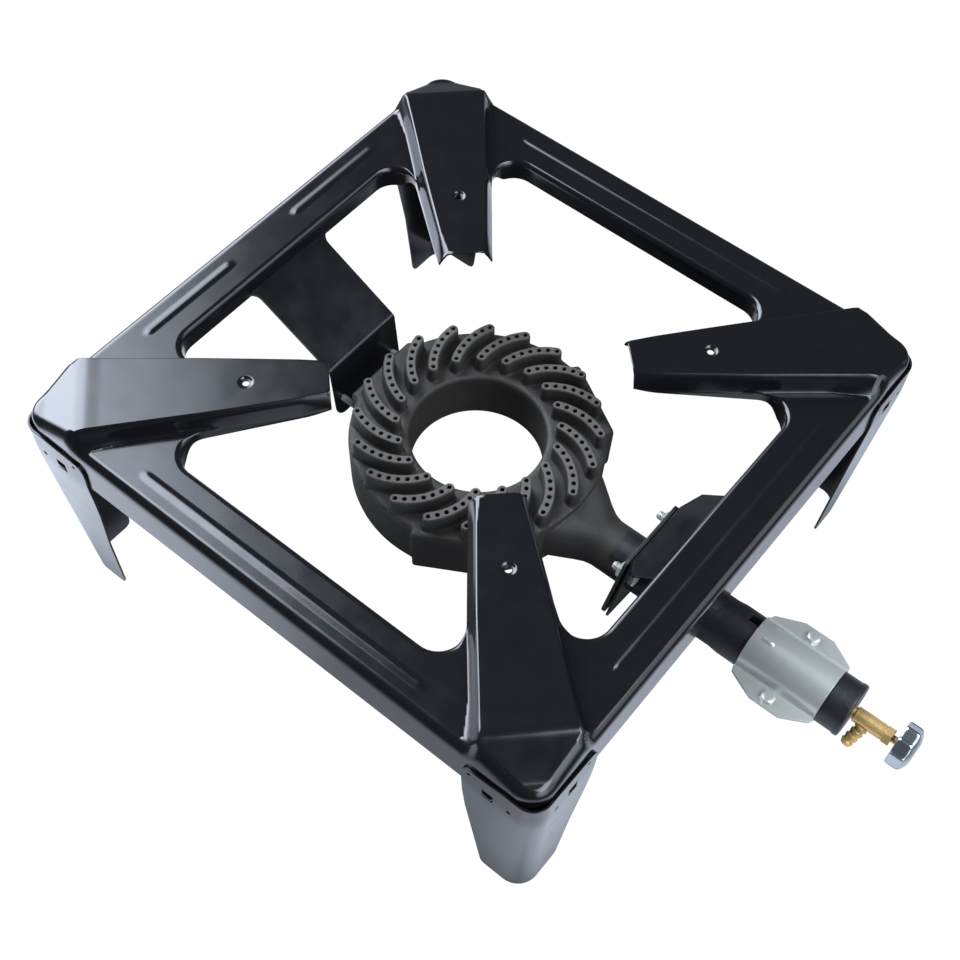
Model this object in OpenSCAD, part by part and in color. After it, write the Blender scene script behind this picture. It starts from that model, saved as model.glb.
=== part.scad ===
// Propane burner stand: a pressed square frame with four raised pot arms on
// four sheet legs, a cast-iron ring burner hung inside it on a rear tongue and
// a front bracket, with its mixing tube, sliding air sleeve and needle valve.
// Millimetres. X is right, Y is back, Z is up. The origin is the centre of the
// square that the four feet stand on. The tube and valve leave towards -Y.

/* [Frame] */
// side of the square frame over the skirt
side = 400; // [390:1:410]
// outer corner radius of the frame in plan
corner_r = 16; // [14:1:24]
// sheet thickness of frame, legs and bracket
sheet_t = 1.5; // [1.2:0.1:2]
// height of the flat side members
plate_z = 176.5; // [170:0.5:182]
// lower edge of the outer skirt
skirt_z = 142.8; // [138:0.2:150]
// radius of the outer fold
fold_r = 6; // [4:0.5:8]
// half-width of the square opening
win_half = 165; // [160:1:170]
// lower edge of the inner lip
lip_z = 161.5; // [158:0.5:166]
// fillet of the opening at each arm
win_fillet = 16; // [10:1:20]

/* [Pot arms] */
// height of the face that the pot stands on
pot_z = 189; // [186:0.5:192]
// distance from the centre to an arm's tip
tip_u = 93.5; // [88:0.5:100]
// half-width of the flat top 97 mm from the centre
arm_flat = 14; // [12:0.5:16]
// how fast the arm widens towards the corner
arm_grow = 0.107; // [0.09:0.001:0.12]
// side wall draft, sideways per mm of depth
arm_draft = 0.31; // [0.2:0.01:0.4]
// distance from the centre to the crease of the corner facet
crease_u = 242; // [236:1:248]
// distance from the centre to an arm's hole
hole_u = 144.4; // [140:0.2:150]
// radius of the arm holes
arm_hole_r = 2.5; // [2:0.1:3]

/* [Beads] */
// distance from the centre line to a bead's crest
bead_off = 184.5; // [182:0.5:187]
// half-length of a bead
bead_half = 110; // [100:1:115]
// height of a bead
bead_h = 0.8; // [0.6:0.1:1.6]
// width of a bead
bead_w = 8.5; // [7:0.5:10]

/* [Legs] */
// distance from the centre to a leg's outer face at the floor
foot_half = 192.25; // [190:0.05:194]
// lean of each leg along its diagonal in degrees
leg_lean = 5.37; // [5:0.01:5.4]
// bend radius of a leg
leg_bend = 14; // [12:1:15]
// height of a leg's top edge
leg_top = 165; // [162:0.5:168]
// height where a leg stops leaning
knee_z = 143; // [142:0.5:145]

/* [Burner] */
// radius of the ring body
body_r = 84.8; // [83:0.1:86]
// radius of the centre opening
bore_r = 45; // [43:0.5:47]
// underside of the ring body
body_z = 80; // [78:0.5:82]
// deck between the ribs
deck_z = 118; // [116:0.5:120]
// top of the ribs
rib_z = 130; // [128:0.5:132]
// width of a rib
rib_w = 6.7; // [6:0.1:7]
// number of ribs
ribs = 20; // [16:1:24]
// ports in each rib
ports = 7; // [5:1:8]
// radius of a port
port_r = 1.6; // [1.2:0.1:1.8]
// distance from the centre to the three flat lug faces
lug_d = 85; // [84.9:0.1:87]

/* [Mixing tube and air sleeve] */
// height of the tube axis
axis_z = 92.5; // [91:0.5:94]
// radius of the tube near the burner
tube_r = 17.2; // [16.5:0.1:17.8]
// radius of the tube under the air sleeve
seat_r = 17.9; // [17.8:0.1:18]
// inner radius of the air sleeve
sleeve_in = 18.2; // [18.2:0.1:18.6]
// thickness of the air sleeve
sleeve_t = 1.1; // [0.8:0.1:1.3]
// distance to the end of the tube
tube_end = 293.5; // [290:0.5:296]

/* [Valve] */
// radius of the brass valve body
valve_r = 5.2; // [4.8:0.1:5.6]
// radius of the knob
knob_r = 15; // [14:0.1:16]
// number of flutes in the knob
flutes = 9; // [8:1:12]

/* [Hidden] */
$fn = 48;
half = side / 2;
t = sheet_t;
grow_a = atan(arm_grow);
draft_a = atan(arm_draft * cos(grow_a));
foot_v = 29;
tab_z = 147.4;
head_half = foot_half + (knee_z + 2) * tan(leg_lean) / sqrt(2);
bolt_x = 24;
bolt_z = 119;
rear_x = 25.5;
rear_z = 99;
clamp_x = 26.5;
clamp_y = -248.5;

// ---------- helpers ----------
module rsq(h, r) {
  square([2 * (h - r), 2 * h], center = true);
  square([2 * h, 2 * (h - r)], center = true);
  for (x = [-1, 1], y = [-1, 1]) translate([x * (h - r), y * (h - r)]) circle(r);
}
// prism of a (y, z) outline along X, from -w to w
module along_x(w) { translate([-w, 0, 0]) rotate([90, 0, 90]) linear_extrude(2 * w) children(); }
// prism of an (x, z) outline along Y, from y0 to y1
module along_y(y0, y1) { translate([0, y1, 0]) rotate([90, 0, 0]) linear_extrude(y1 - y0) children(); }
// round bar along Y at (x, z), from y0 to y1
module bar_y(x, z, y0, y1, r, n = 48) { translate([x, y1, z]) rotate([90, 0, 0]) cylinder(r = r, h = y1 - y0, $fn = n); }
module cone_y(x, z, y0, y1, r0, r1) { translate([x, y0, z]) rotate([-90, 0, 0]) cylinder(r1 = r0, r2 = r1, h = y1 - y0); }

function unit(v) = v / norm(v);
function fillet(a, b, c, r, n) =
  let (p = unit(a - b), q = unit(c - b), h = acos(p * q) / 2,
       o = b + unit(p + q) * r / sin(h), k = r / tan(h),
       s = unit(b + p * k - o), e = unit(b + q * k - o))
  [for (i = [0:n]) o + r * unit(s * (1 - i / n) + e * (i / n))];

// half-width of an arm at the level of its lower edge
function foot_w(u) = arm_flat + arm_grow * (u - 97) + arm_draft * 13.2;
function uv(u, v) = [(u - v) / sqrt(2), (u + v) / sqrt(2)];
function turn(p, q) = q == 0 ? p : turn([-p[1], p[0]], q - 1);
// corner between the opening's side and an arm, in u, for an offset d
function root_u(d) = ((win_half + d) * sqrt(2) - foot_w(0) + d) / (1 + arm_grow);
function root_w(d) = foot_w(root_u(d)) - d;
// the opening, moved out into the metal by d
function quarter(d) =
  let (a = turn(uv(root_u(d), root_w(d)), 3), b = uv(root_u(d), -root_w(d)),
       c = uv(tip_u + d, -(foot_w(tip_u + d) - d)), e = uv(tip_u + d, foot_w(tip_u + d) - d),
       f = uv(root_u(d), root_w(d)))
  concat(fillet(a, b, c, win_fillet + d, 10), [c, e], fillet(e, f, turn(b, 1), win_fillet + d, 10));
module opening(d) { polygon([for (q = [0:3]) for (p = quarter(d)) turn(p, q)]); }

// ---------- frame ----------
module fold_profile() {
  translate([half - fold_r, plate_z - fold_r]) {
    intersection() {
      difference() { circle(fold_r); circle(fold_r - t); }
      square(fold_r + 1);
    }
    translate([fold_r - t, skirt_z - plate_z + fold_r]) square([t, plate_z - fold_r - skirt_z]);
    translate([-1, fold_r - t]) square([1, t]);
  }
}
module skirt() {
  s = half - corner_r;
  for (q = [0:3]) rotate(90 * q) {
    translate([0, s, 0]) rotate([90, 0, 0]) linear_extrude(2 * s) fold_profile();
    translate([s, s, 0]) rotate_extrude(angle = 90, $fn = 96) translate([-s, 0]) fold_profile();
  }
}
module wall_side(d) {
  translate([97, arm_flat, pot_z]) rotate([0, 0, grow_a]) rotate([draft_a, 0, 0])
    translate([-120, -200 - d, -100]) cube([400, 200, 200]);
}
// solid of one arm along +u, shrunk by d on its top, sides and facet
module arm_solid(d) {
  intersection() {
    wall_side(d);
    mirror([0, 1, 0]) wall_side(d);
    translate([60, -foot_v + d, 150]) cube([240, 2 * (foot_v - d), 60]);
    rotate([90, 0, 0]) translate([0, 0, -45]) linear_extrude(90)
      polygon(d == 0
        ? [[tip_u, pot_z], [tip_u, 178.5], [tip_u + 1.3, 176.4], [tip_u + 4.5, 175.2], [tip_u + 11.5, 174.6], [171, 169.6], [176, plate_z - 1.3], [267.4, plate_z - 1.3], [crease_u, pot_z]]
        : [[tip_u - 4, pot_z - t], [tip_u - 4, 160], [291.9, 160], [crease_u - 0.38, pot_z - t]]);
    rotate(-45) translate([0, 0, 150]) linear_extrude(60) rsq(half - 4 - d, corner_r - 4 - d);
  }
}
// a bead along one side member from y0 to y1
module bead(r, z0, z1, y0 = -bead_half, y1 = bead_half) {
  zc = plate_z + bead_h - ((bead_w / 2) * (bead_w / 2) + bead_h * bead_h) / (2 * bead_h);
  a = y0 + bead_w / 2;
  b = y1 - bead_w / 2;
  intersection() {
    union() {
      translate([bead_off, b, zc]) rotate([90, 0, 0]) cylinder(r = r, h = b - a);
      for (e = [a, b]) translate([bead_off, e, zc]) sphere(r);
    }
    translate([bead_off - 10, y0 - 5, z0]) cube([20, y1 - y0 + 10, z1 - z0]);
  }
}
// one bead on each side, and two shorter ones on the rear side
module beads(r, z0, z1) {
  for (q = [0, 2, 3]) rotate(90 * q) bead(r, z0, z1);
  rotate(90) {
    bead(r, z0, z1, -bead_half, -26);
    bead(r, z0, z1, 30, bead_half);
  }
}
bead_r = ((bead_w / 2) * (bead_w / 2) + bead_h * bead_h) / (2 * bead_h);
module tongue() {
  intersection() {
    along_x(46) union() {
      translate([166, 164.9]) rotate(207.8) square([75.5, t]);
      translate([98.7, 130]) circle(1.5);
      translate([97.2, 84]) square([t, 46]);
    }
    // the root flares into the lip with fillets
    linear_extrude(200) polygon(concat(
      [[-45, 170], [45, 170], [45, 165]], fillet([60, 165], [32.6, 165], [32.3, 94], 8, 6),
      [[32.3, 94], [-32.3, 94]], fillet([-32.3, 94], [-32.6, 165], [-60, 165], 8, 6), [[-45, 165]]));
    along_y(90, 170) union() {
      translate([-46, 92]) square([92, 80]);
      translate([-24.3, 84]) square([48.6, 10]);
      for (s = [-1, 1]) translate([s * 24.3, 92]) circle(8);
    }
  }
}
module frame() color([0.05, 0.05, 0.055]) difference() {
  union() {
    translate([0, 0, plate_z - t]) linear_extrude(t) difference() {
      rsq(half - fold_r - 0.5, corner_r - fold_r - 0.5);
      opening(0);
      for (q = [0:3]) rotate(45 + 90 * q) translate([80, -40]) square([88, 80]);
    }
    skirt();
    translate([0, 0, lip_z]) linear_extrude(plate_z - lip_z) difference() {
      opening(t);
      opening(0);
      for (q = [0:3]) rotate(45 + 90 * q) translate([80, -40]) square([90, 80]);
    }
    for (q = [0:3]) rotate(45 + 90 * q) arm_solid(0);
    beads(bead_r, plate_z - 0.8, plate_z + 3);
    tongue();
    for (q = [0:3]) rotate(90 * q) for (s = [-1, 1])
      translate([half - 1, s * 168.3 - 3.4, tab_z - 0.75]) cube([3.1, 6.8, t]);
  }
  for (q = [0:3]) rotate(45 + 90 * q) {
    arm_solid(t);
    translate([hole_u, 0, 180]) cylinder(r = arm_hole_r, h = 20);
  }
  beads(bead_r - t, plate_z - t - 0.5, plate_z + 3);
  for (s = [-1, 1]) bar_y(s * rear_x, rear_z, 94, 104, 2.7);
}

// ---------- legs ----------
module leg_section(h) intersection() {
  difference() { rsq(h, leg_bend); rsq(h - t, leg_bend - t); }
  translate([130, 130]) square(80);
}
module leg() color([0.05, 0.05, 0.055]) difference() {
  union() {
    // the lower part leans in to the foot, and the head stands upright by the skirt
    intersection() {
      translate([foot_half, foot_half, 0]) rotate(a = leg_lean, v = [-1, 1, 0]) translate([-foot_half, -foot_half, -12])
        linear_extrude(170) leg_section(foot_half);
      translate([120, 120, 0]) cube([100, 100, knee_z + 0.6]);
    }
    translate([0, 0, knee_z]) linear_extrude(leg_top - knee_z) leg_section(head_half);
  }
  for (m = [0, 1]) mirror([m, -m, 0]) {
    translate([180, 0, 0]) rotate([90, 0, 90]) linear_extrude(30)
      polygon([[120, -5], [161, -5], [157.8, 2], [153.6, 60], [149, 105], [148.2, 130], [148.2, 156.5], [148.9, 159.8], [151, 162.4], [154, 163.4], [168, 164], [180, leg_top], [180, leg_top + 5], [120, leg_top + 5]]);
    translate([180, 164.3, 143.3]) cube([30, 8, 9]);
    translate([180, 155, 158.4]) rotate([0, 90, 0]) cylinder(r = 1.6, h = 30);
    translate([180, 183, 148]) rotate([0, 90, 0]) cylinder(r = 1.9, h = 30);
  }
}
module leg_rear_right() leg();
module leg_rear_left() rotate(90) leg();
module leg_front_left() rotate(180) leg();
module leg_front_right() rotate(270) leg();

// ---------- front bracket ----------
module ear_outline() {
  difference() {
    polygon([[-25, 138.5], [25, 138.5], [46.8, 102], [46, 100], [21, 96.2], [-21, 96.2], [-46, 100], [-46.8, 102]]);
    translate([0, axis_z]) circle(tube_r + 1.5);
  }
}
module front_bracket() color([0.05, 0.05, 0.055]) difference() {
  union() {
    translate([-30, -win_half - 2 * t, 159.8]) cube([60, t, 13.2]);
    intersection() {
      along_x(37.5) {
        translate([-167.25, 160]) rotate(-40.84) square([34.92, t]);
        translate([-141.05, 138.5]) circle(0.75);
      }
      linear_extrude(200) polygon([[-37.5, -168], [37.5, -168], [37.5, -147], [25, -139.8], [-25, -139.8], [-37.5, -147]]);
    }
    along_y(-141.8, -140.3) ear_outline();
  }
  for (s = [-1, 1]) bar_y(s * bolt_x, bolt_z, -150, -135, 3.2);
}
module clip_bolts() color([0.75, 0.75, 0.74]) for (s = [-1, 1]) {
  bar_y(s * bolt_x, bolt_z, -141.8, -127.7, 3);
  bar_y(s * bolt_x, bolt_z, -145.3, -141.8, 5.77, 6);
}
module clip_nuts() color([0.75, 0.75, 0.74]) for (s = [-1, 1]) difference() {
  bar_y(s * bolt_x, bolt_z, -136, -132.5, 5.77, 6);
  bar_y(s * bolt_x, bolt_z, -137, -130, 3);
}

// ---------- burner casting ----------
rib_c = [31.9, -36.5];
rib_R = 42.8;
function arc(c, r, a0, a1, n) = [for (i = [0:n]) c + r * [cos(a0 + (a1 - a0) * i / n), sin(a0 + (a1 - a0) * i / n)]];
rib_a = 10.1;
rib_b = 58.7;
module rib() {
  translate([rib_c[0], rib_c[1], deck_z - 2]) linear_extrude(rib_z - deck_z + 2) polygon(concat(
    arc([0, 0], rib_R + rib_w / 2, rib_a, rib_b, 8),
    arc(rib_R * [cos(rib_b), sin(rib_b)], rib_w / 2, rib_b + 30, rib_b + 150, 4),
    arc([0, 0], rib_R - rib_w / 2, rib_b, rib_a, 8),
    arc(rib_R * [cos(rib_a), sin(rib_a)], rib_w / 2, rib_a + 210, rib_a + 330, 4)));
}
module burner() color([0.2, 0.19, 0.18]) difference() {
  union() {
    translate([0, 0, body_z]) cylinder(r = body_r, h = deck_z - body_z, $fn = 96);
    for (a = [90, -30, -150]) rotate(a) translate([0, 0, body_z]) linear_extrude(deck_z - body_z)
      polygon([[60, -29.5], [lug_d, -29.5], [lug_d, 29.5], [60, 29.5]]);
    translate([0, 0, body_z]) linear_extrude(29) polygon([[-36, -70], [36, -70], [31, -80], [15, -106], [-15, -106], [-31, -80]]);
    bar_y(0, axis_z, -199, -95, tube_r);
    cone_y(0, axis_z, -206, -199, seat_r, tube_r);
    bar_y(0, axis_z, -290, -206, seat_r);
    bar_y(0, axis_z, -tube_end, -290, seat_r + 0.5);
    along_y(-138.6, -136) difference() {
      polygon([[-27, 133], [27, 133], [45.5, 102], [44.5, 100], [18, 96], [-18, 96], [-44.5, 100], [-45.5, 102]]);
      translate([0, axis_z]) circle(tube_r - 1);
    }
    for (s = [-1, 1]) bar_y(s * bolt_x, bolt_z, -140.3, -137, 5.5);
    for (i = [0:ribs - 1]) rotate(0.9 + i * 360 / ribs) rib();
  }
  translate([0, 0, body_z - 1]) cylinder(r = bore_r, h = 60, $fn = 96);
  // gas chamber
  translate([0, 0, body_z + 4]) difference() {
    cylinder(r = 81.8, h = deck_z - body_z - 8, $fn = 96);
    translate([0, 0, -1]) cylinder(r = bore_r + 3.6, h = 60, $fn = 96);
  }
  // mixing tube bore
  bar_y(0, axis_z, -288.5, -100, 13.5);
  bar_y(0, axis_z, -101, -70, 8.4);
  bar_y(0, axis_z, -300, -288, 3.15);
  // air slots
  for (a = [17, 197]) translate([0, 0, axis_z]) rotate([0, a, 0]) translate([-3.5, -252, 10]) cube([7, 40, 12]);
  // bolt holes
  for (s = [-1, 1]) bar_y(s * bolt_x, bolt_z, -145, -130, 3.2);
  for (s = [-1, 1]) bar_y(s * rear_x, rear_z, 80, 90, 2.45);
  // ports
  for (i = [0:ribs - 1]) rotate(0.9 + i * 360 / ribs) translate([rib_c[0], rib_c[1], 0])
    for (k = [0:ports - 1]) rotate(rib_a + (rib_b - rib_a) * k / (ports - 1)) translate([rib_R, 0, deck_z - 6]) cylinder(r = port_r, h = 20, $fn = 6);
}
module rear_screws() color([0.75, 0.75, 0.74]) for (s = [-1, 1]) {
  bar_y(s * rear_x, rear_z, 80.5, 98.7, 2.4);
  bar_y(s * rear_x, rear_z, 98.7, 101.7, 4.62, 6);
}

// ---------- air sleeve ----------
module sleeve_half() difference() {
  union() {
    bar_y(0, axis_z, -277, -220.5, sleeve_in + sleeve_t);
    translate([0, 0, axis_z]) linear_extrude(sleeve_t)
      polygon([[24, -221], [32.5, -239.5], [32.5, -260], [23, -277], [-23, -277], [-32.5, -260], [-32.5, -239.5], [-24, -221]]);
  }
  bar_y(0, axis_z, -290, -210, sleeve_in);
  translate([-50, -300, axis_z - 40]) cube([100, 100, 40]);
  for (s = [-1, 1]) translate([s * clamp_x, clamp_y, axis_z - 5]) cylinder(r = 2.7, h = 20);
}
module sleeve_upper() color([0.72, 0.73, 0.71]) difference() {
  sleeve_half();
  // two lances in the top of the barrel
  translate([-3.7, -234.6, axis_z + 10]) cube([1.4, 9, 20]);
  translate([9.3, -236, axis_z + 10]) cube([1.4, 9, 20]);
}
module sleeve_lower() color([0.72, 0.73, 0.71]) translate([0, 0, 2 * axis_z]) mirror([0, 0, 1]) sleeve_half();
module sleeve_screws() color([0.78, 0.78, 0.76]) for (s = [-1, 1]) translate([s * clamp_x, clamp_y, axis_z]) {
  translate([0, 0, sleeve_t]) cylinder(r = 4.62, h = 3, $fn = 6);
  translate([0, 0, -8]) cylinder(r = 2.5, h = 8 + sleeve_t);
}
module sleeve_nuts() color([0.78, 0.78, 0.76]) for (s = [-1, 1]) translate([s * clamp_x, clamp_y, axis_z]) difference() {
  translate([0, 0, -sleeve_t - 3.2]) cylinder(r = 4.62, h = 3.2, $fn = 6);
  translate([0, 0, -10]) cylinder(r = 2.5, h = 12);
}

// ---------- valve ----------
// local Z runs down and to the left, along the hose barb
module barb_axis() { multmatrix([[-0.2928, 0.64, -0.7104, 0], [0.768, 0.6, 0.224, -304], [0.5696, -0.48, -0.6672, axis_z], [0, 0, 0, 1]]) children(); }
module valve_body() color([0.72, 0.55, 0.25]) difference() {
  union() {
    bar_y(0, axis_z, -314.7, -295.3, valve_r);
    bar_y(0, axis_z, -295.3, -tube_end, 4.2);
    bar_y(0, axis_z, -294, -287, 3.1);
    barb_axis() {
      cylinder(r = 3.3, h = 18);
      translate([0, 0, 5]) cylinder(r = 4.3, h = 2);
      translate([0, 0, 8.6]) cylinder(r = 4.2, h = 1.6);
      translate([0, 0, 10.2]) cylinder(r1 = 4.2, r2 = 3.3, h = 2);
      translate([0, 0, 12.8]) cylinder(r = 4.2, h = 1.6);
      translate([0, 0, 14.4]) cylinder(r1 = 4.2, r2 = 3.3, h = 2);
      translate([0, 0, 17]) cylinder(r1 = 4.1, r2 = 2.7, h = 3.5);
    }
  }
  bar_y(0, axis_z, -303, -280, 1.2);
  bar_y(0, axis_z, -307, -302.9, 3);
  bar_y(0, axis_z, -320, -306.8, 4);
  barb_axis() translate([0, 0, 2.5]) cylinder(r = 1.5, h = 30);
}
module jet() color([0.75, 0.58, 0.28]) difference() {
  union() {
    bar_y(0, axis_z, -287, -282, 3.1);
    cone_y(0, axis_z, -282, -278, 3.1, 1.6);
  }
  bar_y(0, axis_z, -290, -281, 1.2);
  bar_y(0, axis_z, -282, -270, 0.5);
}
module ring_y(y0, y1, ro, ri) { difference() { bar_y(0, axis_z, y0, y1, ro); bar_y(0, axis_z, y0 - 1, y1 + 1, ri); } }
module gland_packing() color([0.85, 0.85, 0.8]) ring_y(-311.6, -310.4, 4, 2.85);
module gland_nut() color([0.74, 0.57, 0.27]) difference() {
  union() {
    bar_y(0, axis_z, -320.8, -315.6, 6.25, 6);
    bar_y(0, axis_z, -315.6, -314.7, 5);
    bar_y(0, axis_z, -314.7, -311.6, 4);
  }
  bar_y(0, axis_z, -325, -305, 2.85);
}
module stem_seal() color([0.05, 0.05, 0.05]) ring_y(-308.4, -307.2, 3.5, 2.55);
module spindle() color([0.74, 0.57, 0.27]) {
  bar_y(0, axis_z, -324, -305.6, 2.5);
  cone_y(0, axis_z, -305.6, -303.4, 2.5, 0.9);
  bar_y(0, axis_z, -336, -324, 1.9);
}
module knob() color([0.8, 0.8, 0.8]) difference() {
  union() {
    difference() {
      union() {
        bar_y(0, axis_z, -333.2, -324, knob_r);
        cone_y(0, axis_z, -336.5, -333.2, 7, 13.8);
      }
      bar_y(0, axis_z, -330.6, -320, knob_r - 2.6);
    }
    bar_y(0, axis_z, -331, -324, 4.2);
  }
  bar_y(0, axis_z, -340, -320, 1.9);
  bar_y(0, axis_z, -340, -333.6, 4.6);
  for (i = [0:flutes - 1]) translate([0, 0, axis_z]) rotate([0, i * 360 / flutes - 10.7, 0]) bar_y(knob_r + 25.1, 0, -340, -320, 26, 72);
}
module knob_nut() color([0.78, 0.78, 0.76]) difference() {
  bar_y(0, axis_z, -335.6, -333.6, 4, 6);
  bar_y(0, axis_z, -340, -320, 1.9);
}

frame();
leg_front_left();
leg_front_right();
leg_rear_left();
leg_rear_right();
front_bracket();
clip_bolts();
clip_nuts();
burner();
rear_screws();
sleeve_upper();
sleeve_lower();
sleeve_screws();
sleeve_nuts();
valve_body();
jet();
gland_packing();
gland_nut();
stem_seal();
spindle();
knob();
knob_nut();
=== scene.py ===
import math

import bpy
import numpy as np
from mathutils import Matrix, Vector
from mathutils.geometry import delaunay_2d_cdt


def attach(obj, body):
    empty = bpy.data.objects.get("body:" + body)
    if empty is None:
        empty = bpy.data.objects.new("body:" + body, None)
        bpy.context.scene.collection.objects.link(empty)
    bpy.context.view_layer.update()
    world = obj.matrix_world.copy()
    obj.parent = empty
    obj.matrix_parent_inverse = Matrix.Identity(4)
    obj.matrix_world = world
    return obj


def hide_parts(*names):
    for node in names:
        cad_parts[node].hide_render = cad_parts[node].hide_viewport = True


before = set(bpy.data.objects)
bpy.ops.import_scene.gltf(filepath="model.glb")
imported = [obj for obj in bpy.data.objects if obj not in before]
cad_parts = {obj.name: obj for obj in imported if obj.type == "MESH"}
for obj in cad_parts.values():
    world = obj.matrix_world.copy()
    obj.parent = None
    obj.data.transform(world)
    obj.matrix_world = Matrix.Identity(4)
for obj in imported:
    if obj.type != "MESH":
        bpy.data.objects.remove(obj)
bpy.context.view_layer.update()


S2 = math.sqrt(2.0)
T = 1.5  # sheet thickness, mm

# ------------------------------------------------------------------ mesh tools


def unit(a):
    a = np.asarray(a, float)
    n = np.linalg.norm(a, axis=-1, keepdims=True)
    return a / np.maximum(n, 1e-12)


def smooth(x):
    x = np.clip(x, 0.0, 1.0)
    return x * x * (3 - 2 * x)


def face_normals(V, F):
    out = np.zeros((len(F), 3))
    for i, f in enumerate(F):
        p = V[list(f)]
        q = np.roll(p, -1, 0)
        out[i] = 0.5 * np.cross(p, q).sum(0)
    return out


def auto_normals(V, F, angle):
    """Corner normals: faces at a vertex are averaged where they meet within the angle."""
    A = face_normals(V, F)
    U = unit(A)
    at = {}
    for i, f in enumerate(F):
        for v in f:
            at.setdefault(v, []).append(i)
    c = math.cos(math.radians(angle))
    out = []
    for i, f in enumerate(F):
        for v in f:
            near = at[v]
            if len(near) == 1:
                out.append(U[i])
                continue
            ok = U[near] @ U[i] > c
            s = A[near][ok].sum(0)
            n = np.linalg.norm(s)
            out.append(s / n if n > 1e-12 else U[i])
    return np.array(out)


def outward(V, F):
    """Faces turned so that a closed mesh has a positive volume."""
    v = 0.0
    for f in F:
        p = V[list(f)]
        for k in range(1, len(f) - 1):
            v += np.dot(p[0], np.cross(p[k], p[k + 1]))
    return [tuple(reversed(f)) for f in F] if v < 0 else F


class Shape:
    def __init__(self):
        self.v, self.f, self.n, self.m, self.count = [], [], [], [], 0

    def add(self, V, F, N=None, angle=35, mat=0, closed=True, xf=None):
        V = np.asarray(V, float)
        F = [tuple(int(i) for i in f) for f in F]
        if xf is not None:
            M = np.array(xf, float)
            V = V @ M[:3, :3].T + M[:3, 3]
            if N is not None:
                N = np.asarray(N) @ M[:3, :3].T
            if np.linalg.det(M[:3, :3]) < 0:
                F = [tuple(reversed(f)) for f in F]
        if N is None:
            if closed:
                F = outward(V, F)
            L = auto_normals(V, F, angle)
        else:
            idx = [i for f in F for i in f]
            L = np.asarray(N)[idx]
        self.v.append(V)
        self.f += [tuple(i + self.count for i in f) for f in F]
        self.n.append(unit(L))
        self.m += [mat] * len(F)
        self.count += len(V)
        return self

    def build(self, name, mats, body, nodes=()):
        V = np.concatenate(self.v) * 0.001
        me = bpy.data.meshes.new(name)
        me.from_pydata(V.tolist(), [], self.f)
        for m in mats:
            me.materials.append(m)
        me.polygons.foreach_set("material_index", self.m)
        me.polygons.foreach_set("use_smooth", [True] * len(self.f))
        me.update()
        me.normals_split_custom_set(np.concatenate(self.n).tolist())
        ob = bpy.data.objects.new(name, me)
        bpy.context.scene.collection.objects.link(ob)
        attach(ob, body)
        if nodes:
            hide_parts(*nodes)
        return ob


def loft(rings, cap0=True, cap1=True):
    n = len(rings[0])
    V = np.concatenate([np.asarray(r, float) for r in rings])
    F = []
    for k in range(len(rings) - 1):
        for i in range(n):
            j = (i + 1) % n
            F.append((k * n + i, k * n + j, (k + 1) * n + j, (k + 1) * n + i))
    if cap0:
        F.append(tuple(reversed(range(n))))
    if cap1:
        F.append(tuple(range((len(rings) - 1) * n, len(rings) * n)))
    return V, F


def lathe(profile, n=48, close=False):
    """Profile of (radius, height); the axis is Z. With close, the last point joins the first."""
    a = np.arange(n) * 2 * math.pi / n
    c, s = np.cos(a), np.sin(a)
    P = [p for p in profile]
    V, F, rows = [], [], []
    for r, z in P:
        if r < 1e-6:
            rows.append(("p", len(V)))
            V.append((0, 0, z))
        else:
            rows.append(("r", len(V)))
            V += [(r * c[i], r * s[i], z) for i in range(n)]
    pairs = list(zip(rows[:-1], rows[1:]))
    if close:
        pairs.append((rows[-1], rows[0]))
    for (ta, a0), (tb, b0) in pairs:
        for i in range(n):
            j = (i + 1) % n
            if ta == "r" and tb == "r":
                F.append((a0 + i, a0 + j, b0 + j, b0 + i))
            elif ta == "r":
                F.append((a0 + i, a0 + j, b0))
            elif tb == "r":
                F.append((a0, b0 + j, b0 + i))
    return np.array(V, float), F


def frame_to(origin, z, x=None):
    """Matrix that takes local Z to z, at the origin given."""
    z = unit(z)
    x = np.array(x if x is not None else ([1, 0, 0] if abs(z[0]) < 0.9 else [0, 0, 1]), float)
    x = unit(x - z * (x @ z))
    y = np.cross(z, x)
    M = np.eye(4)
    M[:3, 0], M[:3, 1], M[:3, 2], M[:3, 3] = x, y, z, origin
    return M


def turned(k):
    """Rotation by k quarter turns about Z."""
    M = np.eye(4)
    c, s = [(1, 0), (0, 1), (-1, 0), (0, -1)][k % 4]
    M[:2, :2] = [[c, -s], [s, c]]
    return M


def rot_about(axis, deg, at):
    R = np.array(Matrix.Rotation(math.radians(deg), 3, Vector(axis)))
    M = np.eye(4)
    M[:3, :3] = R
    at = np.array(at, float)
    M[:3, 3] = at - R @ at
    return M


def inside(P, c):
    x, y = c[:, 0], c[:, 1]
    r = np.zeros(len(c), bool)
    Q = np.roll(P, -1, 0)
    for (x0, y0), (x1, y1) in zip(P, Q):
        if y0 == y1:
            continue
        m = (y0 > y) != (y1 > y)
        r ^= m & (x < (x1 - x0) * (y - y0) / (y1 - y0) + x0)
    return r


def divide(P, step, closed=True):
    P = np.asarray(P, float)
    out = []
    n = len(P)
    for i in range(n if closed else n - 1):
        a, b = P[i], P[(i + 1) % n]
        k = max(1, int(math.ceil(np.linalg.norm(b - a) / step)))
        out += [a + (b - a) * j / k for j in range(k)]
    if not closed:
        out.append(P[-1])
    return np.array(out)


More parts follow.
